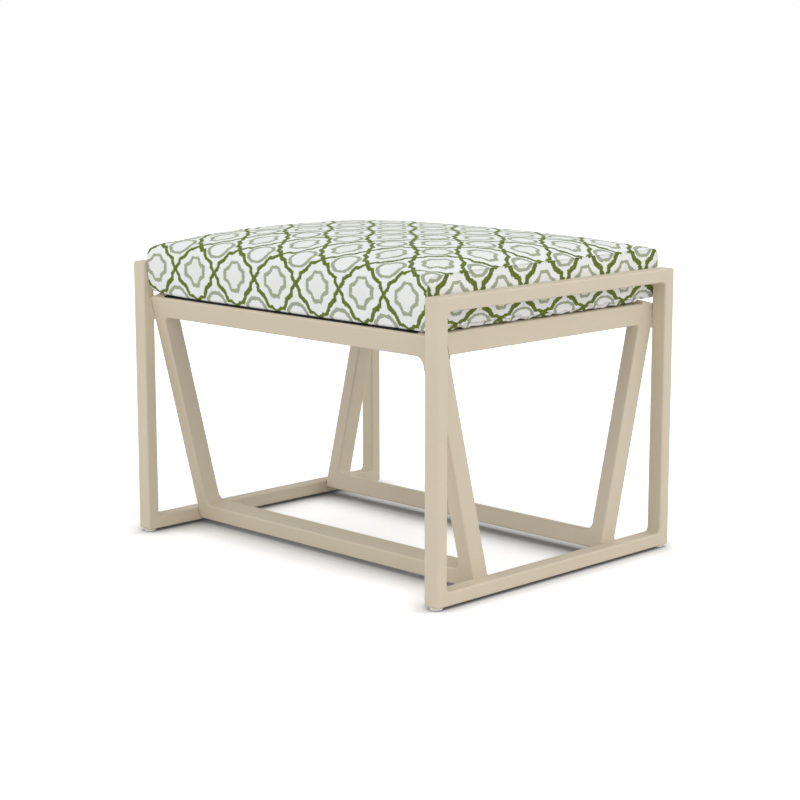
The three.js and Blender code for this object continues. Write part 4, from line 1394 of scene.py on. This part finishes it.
@dataclass
class ZipFastener:
    """A coil zip in the cushion's back: tape, coil, slider, pull and the two cloth flaps."""

    half_length: float = 232.0
    height: float = 414.95
    seat: float = 240.2  # Y of the tape's outer face
    park: float = 205.0  # X where the slider stands
    tape_height: float = 11.4
    tape_thickness: float = 0.8
    coil_height: float = 4.0
    coil_rise: float = 1.6
    tooth: float = 1.5
    slider_top: float = 244.3
    slider_half_length: float = 4.5
    slider_half_height: float = 4.0
    arch_rise: float = 2.4
    pivot: float = 245.2  # Y of the pull's middle
    print_column: float = 79.8  # X of the middle of a drawn-in cell
    print_drop: float = 30.0  # mm from a row of crossings up to the zip
    stitch_pitch: float = 3.6
    stitch_length: float = 2.6
    stitch_radius: float = 0.28
    stitch_row: float = 10.6  # mm from the zip's middle to a row of stitches

    def build(self) -> None:
        """Makes every piece of the zip, with the canvas's print on the flaps."""
        make_piece("zip_tape", self.tape(), ZipTape(), Body.CUSHION, ["zip_chain"])
        make_piece("zip_coil", self.coil(), ZipTape(), Body.CUSHION)
        make_piece("zip_slider_body", self.slider(), PlatedZinc(), Body.SLIDER, ["zip_slider"])
        make_piece("zip_pull_tab", self.pull(), PlatedZinc(), Body.PULL, ["zip_pull"])
        both = self.flap(Side.LOW).joined(self.flap(Side.HIGH))
        flaps = make_piece("zip_flaps", both, PrintedCanvas(), Body.CUSHION)
        corners = np.empty(len(flaps.data.loops), int)
        flaps.data.loops.foreach_get("vertex_index", corners)
        x, _, z = get_points(flaps.data)[corners].T
        Print.lay(flaps, Print.cells(x - self.print_column, z - self.height + self.print_drop))
        make_piece("zip_stitches", self.stitches(), SewingThread(), Body.CUSHION)

    def tape(self) -> Surface:
        """Makes the tape: a thin rounded section carried along X."""
        half = self.tape_height / 2
        box = (self.seat - self.tape_thickness, -half, self.seat, half)
        ring = rounded_outline(box, (0.3,) * 4, 3) + (0, self.height)
        return capped_surface(along_x(np.linspace(-self.half_length, self.half_length, 60), ring))

    def coil(self) -> Surface:
        """Makes the coil: a half-round section carried along X.

        Its size swells by 0.86 + 0.14 cos(2 pi x / tooth), and the row of stitches draws in a
        groove of 1 - 0.3 exp(-(z / 0.7)^2) along its middle.
        """
        count = int(2 * self.half_length / self.tooth) * 4
        stations = np.linspace(-self.half_length + 0.5, self.half_length - 0.5, count + 1)
        swell = (0.86 + 0.14 * np.cos(2 * math.pi * stations / self.tooth))[:, None]
        angle = np.linspace(0, 2 * math.pi, 12, endpoint=False)
        out = np.maximum(np.cos(angle), -0.25) * self.coil_rise * 0.95
        up = np.sin(angle) * self.coil_height / 2
        groove = 1 - 0.3 * np.exp(-((up / 0.7) ** 2)) * (np.cos(angle) > 0)
        y, z = self.seat + 0.1 + out * groove * swell, self.height + up * swell
        return capped_surface(along_x(stations, np.stack([y, z], axis=-1)))

    def slider(self) -> Surface:
        """Makes the slider: a domed body with a waist, and a rounded arch carried over it.

        With u from -1 to 1 along the body, its half height is
        h (0.8 + 0.2 |u|^1.5) (1 - 0.25 u^4), the last only past the middle. The arch runs along
        x = -a cos^0.6 t and y = b sin^0.6 t, with the cosine's sign kept.
        """
        u = np.linspace(-1, 1, 17)
        ring = rounded_outline((-1, -1, 1, 1), (0.45,) * 4, 4)
        tall = self.slider_half_height * (0.8 + 0.2 * np.abs(u) ** 1.5)
        tall = tall * (1 - 0.25 * np.clip(u, 0, 1) ** 4)
        low = self.seat + 2.0
        dome = self.slider_top - low - 0.35 * u**4
        y = low + (ring[:, 0] + 1) / 2 * dome[:, None]
        z = self.height + ring[:, 1] * tall[:, None]
        stations = self.park + self.slider_half_length * u
        body = capped_surface(along_x(stations, np.stack([y, z], axis=-1)))
        turn = np.linspace(0, math.pi, 25)
        x = self.park - 2.5 * np.sign(np.cos(turn)) * np.abs(np.cos(turn)) ** 0.6
        y = self.slider_top - 0.3 + (self.arch_rise + 0.3) * np.sin(turn) ** 0.6
        path = np.stack([x, y, np.full_like(turn, self.height)], axis=1)
        arch = carried_ring(path, ellipse(0.6, 0.7, 12), np.array([0, 0, 1.0]))
        return body.joined(capped_surface(arch))

    def pull(self) -> Surface:
        """Makes the pull: a plate between an outer line and the eye, rounded on its edges.

        The outer line narrows by 0.2 exp(-((x - c) / 4)^2) at its waist. Each section point is
        a share of the way from the outer line to the eye and a distance from the plate's middle.
        """
        outer = rounded_outline((-21.5, -3.0, 0.5, 3.0), (2.6, 0.9, 0.9, 2.6), 8)
        outer[:, 1] *= 1 - 0.2 * np.exp(-(((outer[:, 0] + 10.5) / 4) ** 2))
        eye = rounded_outline((-4.5, -1.5, -0.5, 1.5), (0.6,) * 4, 8)
        section = [(0, -0.25), (0, 0.25), (0.06, 0.45), (0.94, 0.45), (1, 0.25), (1, -0.25)]
        section += [(0.94, -0.45), (0.06, -0.45)]
        share, out = np.array(section)[..., None].transpose(1, 0, 2)
        line = outer * (1 - share[..., None]) + eye * share[..., None]
        x, z = self.park + line[..., 0], self.height + line[..., 1]
        return torus_surface(np.stack([x, np.broadcast_to(self.pivot + out, x.shape), z], axis=-1))

    def flap(self, side: Side) -> Surface:
        """Makes a folded cloth edge beside the coil, carried along X and closed at its ends."""
        ring = rounded_outline((self.seat - 1.2, 5.2, self.seat + 0.9, 12.5), (0.9,) * 4, 4)
        ring = ring * (1, side.value) + (0, self.height)
        stations = np.linspace(-self.half_length - 4, self.half_length + 4, 160)
        wave = waves(stations, ((5.3, 0.12, 0.0), (12.1, 0.1, 0.6)))
        return capped_surface(along_x(stations, ring + wave[:, None, None] * (1, 0)))

    def stitches(self) -> Surface:
        """Makes the rows of stitches: small ellipsoid threads side by side."""
        count = int(2 * self.half_length / self.stitch_pitch)
        centres = (np.arange(count) - (count - 1) / 2) * self.stitch_pitch
        u = np.linspace(0.12, math.pi - 0.12, 6)[:, None]
        slim = np.sin(u)
        ring = ellipse(self.stitch_radius, self.stitch_radius, 6)
        x = centres[:, None, None] - np.cos(u) * self.stitch_length / 2
        y = self.seat + 0.9 + slim * ring[:, 0]
        rows = [
            np.stack(np.broadcast_arrays(x, y, middle + slim * ring[:, 1]), axis=-1)
            for middle in (self.height + side.value * self.stitch_row for side in Side)
        ]
        whole = np.concatenate(rows)
        stitch = capped_surface(whole[0])
        starts = len(stitch.points) * np.arange(len(whole))
        faces = [[index + start for index in face] for start in starts for face in stitch.faces]
        return Surface(whole.reshape(-1, 3), faces)


def seen(tree: bpy.types.NodeTree) -> bpy.types.Node:
    """Returns a node that gives 1 for camera, glossy and transmission rays."""
    path = add_node(tree, "LightPath")
    kinds = [path.outputs[f"Is {kind} Ray"] for kind in ("Camera", "Glossy", "Transmission")]
    total = add_node(tree, "Math", {0: kinds[0], 1: kinds[1]}, operation="ADD")
    total = add_node(tree, "Math", {0: total, 1: kinds[2]}, operation="ADD")
    return add_node(tree, "Math", {0: total, 1: 1.0}, operation="MINIMUM")


@dataclass(frozen=True)
class StudioFloor(Finish):
    """Matt white floor: shown as plain white, with a shadow painted in where a rail is close above
    it.
    """

    name: ClassVar[str] = "white_floor"
    kind: ClassVar[str] = "BsdfDiffuse"
    contact: float = 0.07  # m over which the painted shadow darkens it
    depth: float = 1.7  # power of the painted shadow's darkening
    # painted shadow: the seen colour where a rail above hides the floor all round
    dark: tuple[float, ...] = (0.3, 0.31, 0.34, 1.0)
    white: tuple[float, ...] = (1.6, 1.6, 1.6, 1.0)  # over 1, to show as white in soft light
    unseen: tuple[float, ...] = (0.8, 0.8, 0.8, 1.0)  # what it throws back on the stool

    def inputs(self, tree: bpy.types.NodeTree) -> dict[str, Any]:
        """Returns the floor, brighter for rays that are seen than for the light it throws back,
        with a shadow painted in by ambient occlusion where rails are close above it.
        """
        # painted shadow: ambient occlusion darkens the seen floor near the stool's rails
        nearby = add_node(tree, "AmbientOcclusion", {"Distance": self.contact}, samples=8)
        openness = {0: nearby.outputs["AO"], 1: self.depth}
        clear = add_node(tree, "Math", openness, operation="POWER")
        shown = add_node(tree, "Mix", {0: clear, 6: self.dark, 7: self.white}, data_type="RGBA")
        colours = {6: self.unseen, 7: shown.outputs[2]}
        tint = add_node(tree, "Mix", {0: seen(tree), **colours}, data_type="RGBA")
        return {"Color": tint.outputs[2]}


@dataclass
class Studio:
    """The camera at the photograph's place, soft light and a white floor."""

    camera_at: tuple[float, float, float] = (2.09153, -2.08677, 0.75092)
    right: tuple[float, float, float] = (0.706616, 0.707597, -0.000428)
    upward: tuple[float, float, float] = (-0.125685, 0.126106, 0.984023)
    forward: tuple[float, float, float] = (-0.696345, 0.695273, -0.178043)
    lens: float = 88.70  # mm on a 36 mm sensor
    world_level: float = 0.58
    floor_size: float = 40.0  # m
    lamps: tuple = (  # name, direction from the stool, strength and width in degrees
        ("back_light", (0.35, 0.7, 0.6), 0.6, 45),
        ("front_light", (-0.2, -0.85, 0.45), 0.86, 80),
        ("side_light", (0.95, -0.1, 0.3), 0.85, 80),
    )

    def build(self) -> None:
        """Makes the camera, the lamps, the world and the floor."""
        self.camera()
        for name, toward, level, width in self.lamps:
            data = bpy.data.lights.new(name, "SUN")
            data.energy, data.angle = level, math.radians(width)
            lamp = bpy.data.objects.new(name, data)
            bpy.context.scene.collection.objects.link(lamp)
            lamp.rotation_euler = Vector(toward).to_track_quat("Z", "Y").to_euler()
        self.world()
        self.floor()
        bpy.context.scene.view_settings.view_transform = "Standard"

    def camera(self) -> None:
        """Sets the camera's place and its lens."""
        data = bpy.data.cameras.new("camera")
        data.sensor_fit, data.sensor_width, data.lens = "HORIZONTAL", 36.0, self.lens
        camera = bpy.data.objects.new("camera", data)
        bpy.context.scene.collection.objects.link(camera)
        right, upward, back = Vector(self.right), Vector(self.upward), -Vector(self.forward)
        turn = Matrix((right, upward, back)).transposed().to_4x4()
        camera.matrix_world = Matrix.Translation(self.camera_at) @ turn
        bpy.context.scene.camera = camera

    def world(self) -> None:
        """Makes the world: white where it is seen, and a soft grey light elsewhere."""
        world = bpy.data.worlds.new("studio")
        bpy.context.scene.world = world
        world.use_nodes = True
        tree = world.node_tree
        tree.nodes.clear()
        soft, white = (
            add_node(tree, "Background", {0: linear("#ffffff"), 1: level})
            for level in (self.world_level, 1.0)
        )
        mix = add_node(tree, "MixShader", {0: seen(tree), 1: soft, 2: white})
        add_node(tree, "OutputWorld", {0: mix})

    def floor(self) -> None:
        """Makes the floor as a level grid, wide enough to reach past the camera's view."""
        line = np.linspace(-self.floor_size / 2, self.floor_size / 2, 9)
        x, y = np.meshgrid(line, line, indexing="ij")
        points = np.stack([x, y, np.zeros_like(x)], axis=-1).reshape(-1, 3)
        faces = grid_faces(len(line), len(line), False, False)[:, ::-1]
        mesh = bpy.data.meshes.new("floor")
        mesh.from_pydata(points.tolist(), [], faces.tolist())
        mesh.materials.append(StudioFloor().material())
        floor = bpy.data.objects.new("floor", mesh)
        bpy.context.scene.collection.objects.link(floor)


def main() -> None:
    """Builds the footstool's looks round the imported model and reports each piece."""
    logging.basicConfig(level=logging.INFO, format="%(message)s")
    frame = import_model()
    Studio().build()
    base = SeatBase()
    for assembly in (SideLoops(), base, WeldBeads(base), SlingDeck(base), Cushion(), ZipFastener()):
        assembly.build()
    for name in ("front_spline_rod", "back_spline_rod"):
        slots = frame["nodes"][name].data.materials
        slots.clear()
        slots.append(BlackExtrusion().material())
        LOG.info("%s: kept from the packed model", name)


if __name__ == "__main__":
    main()
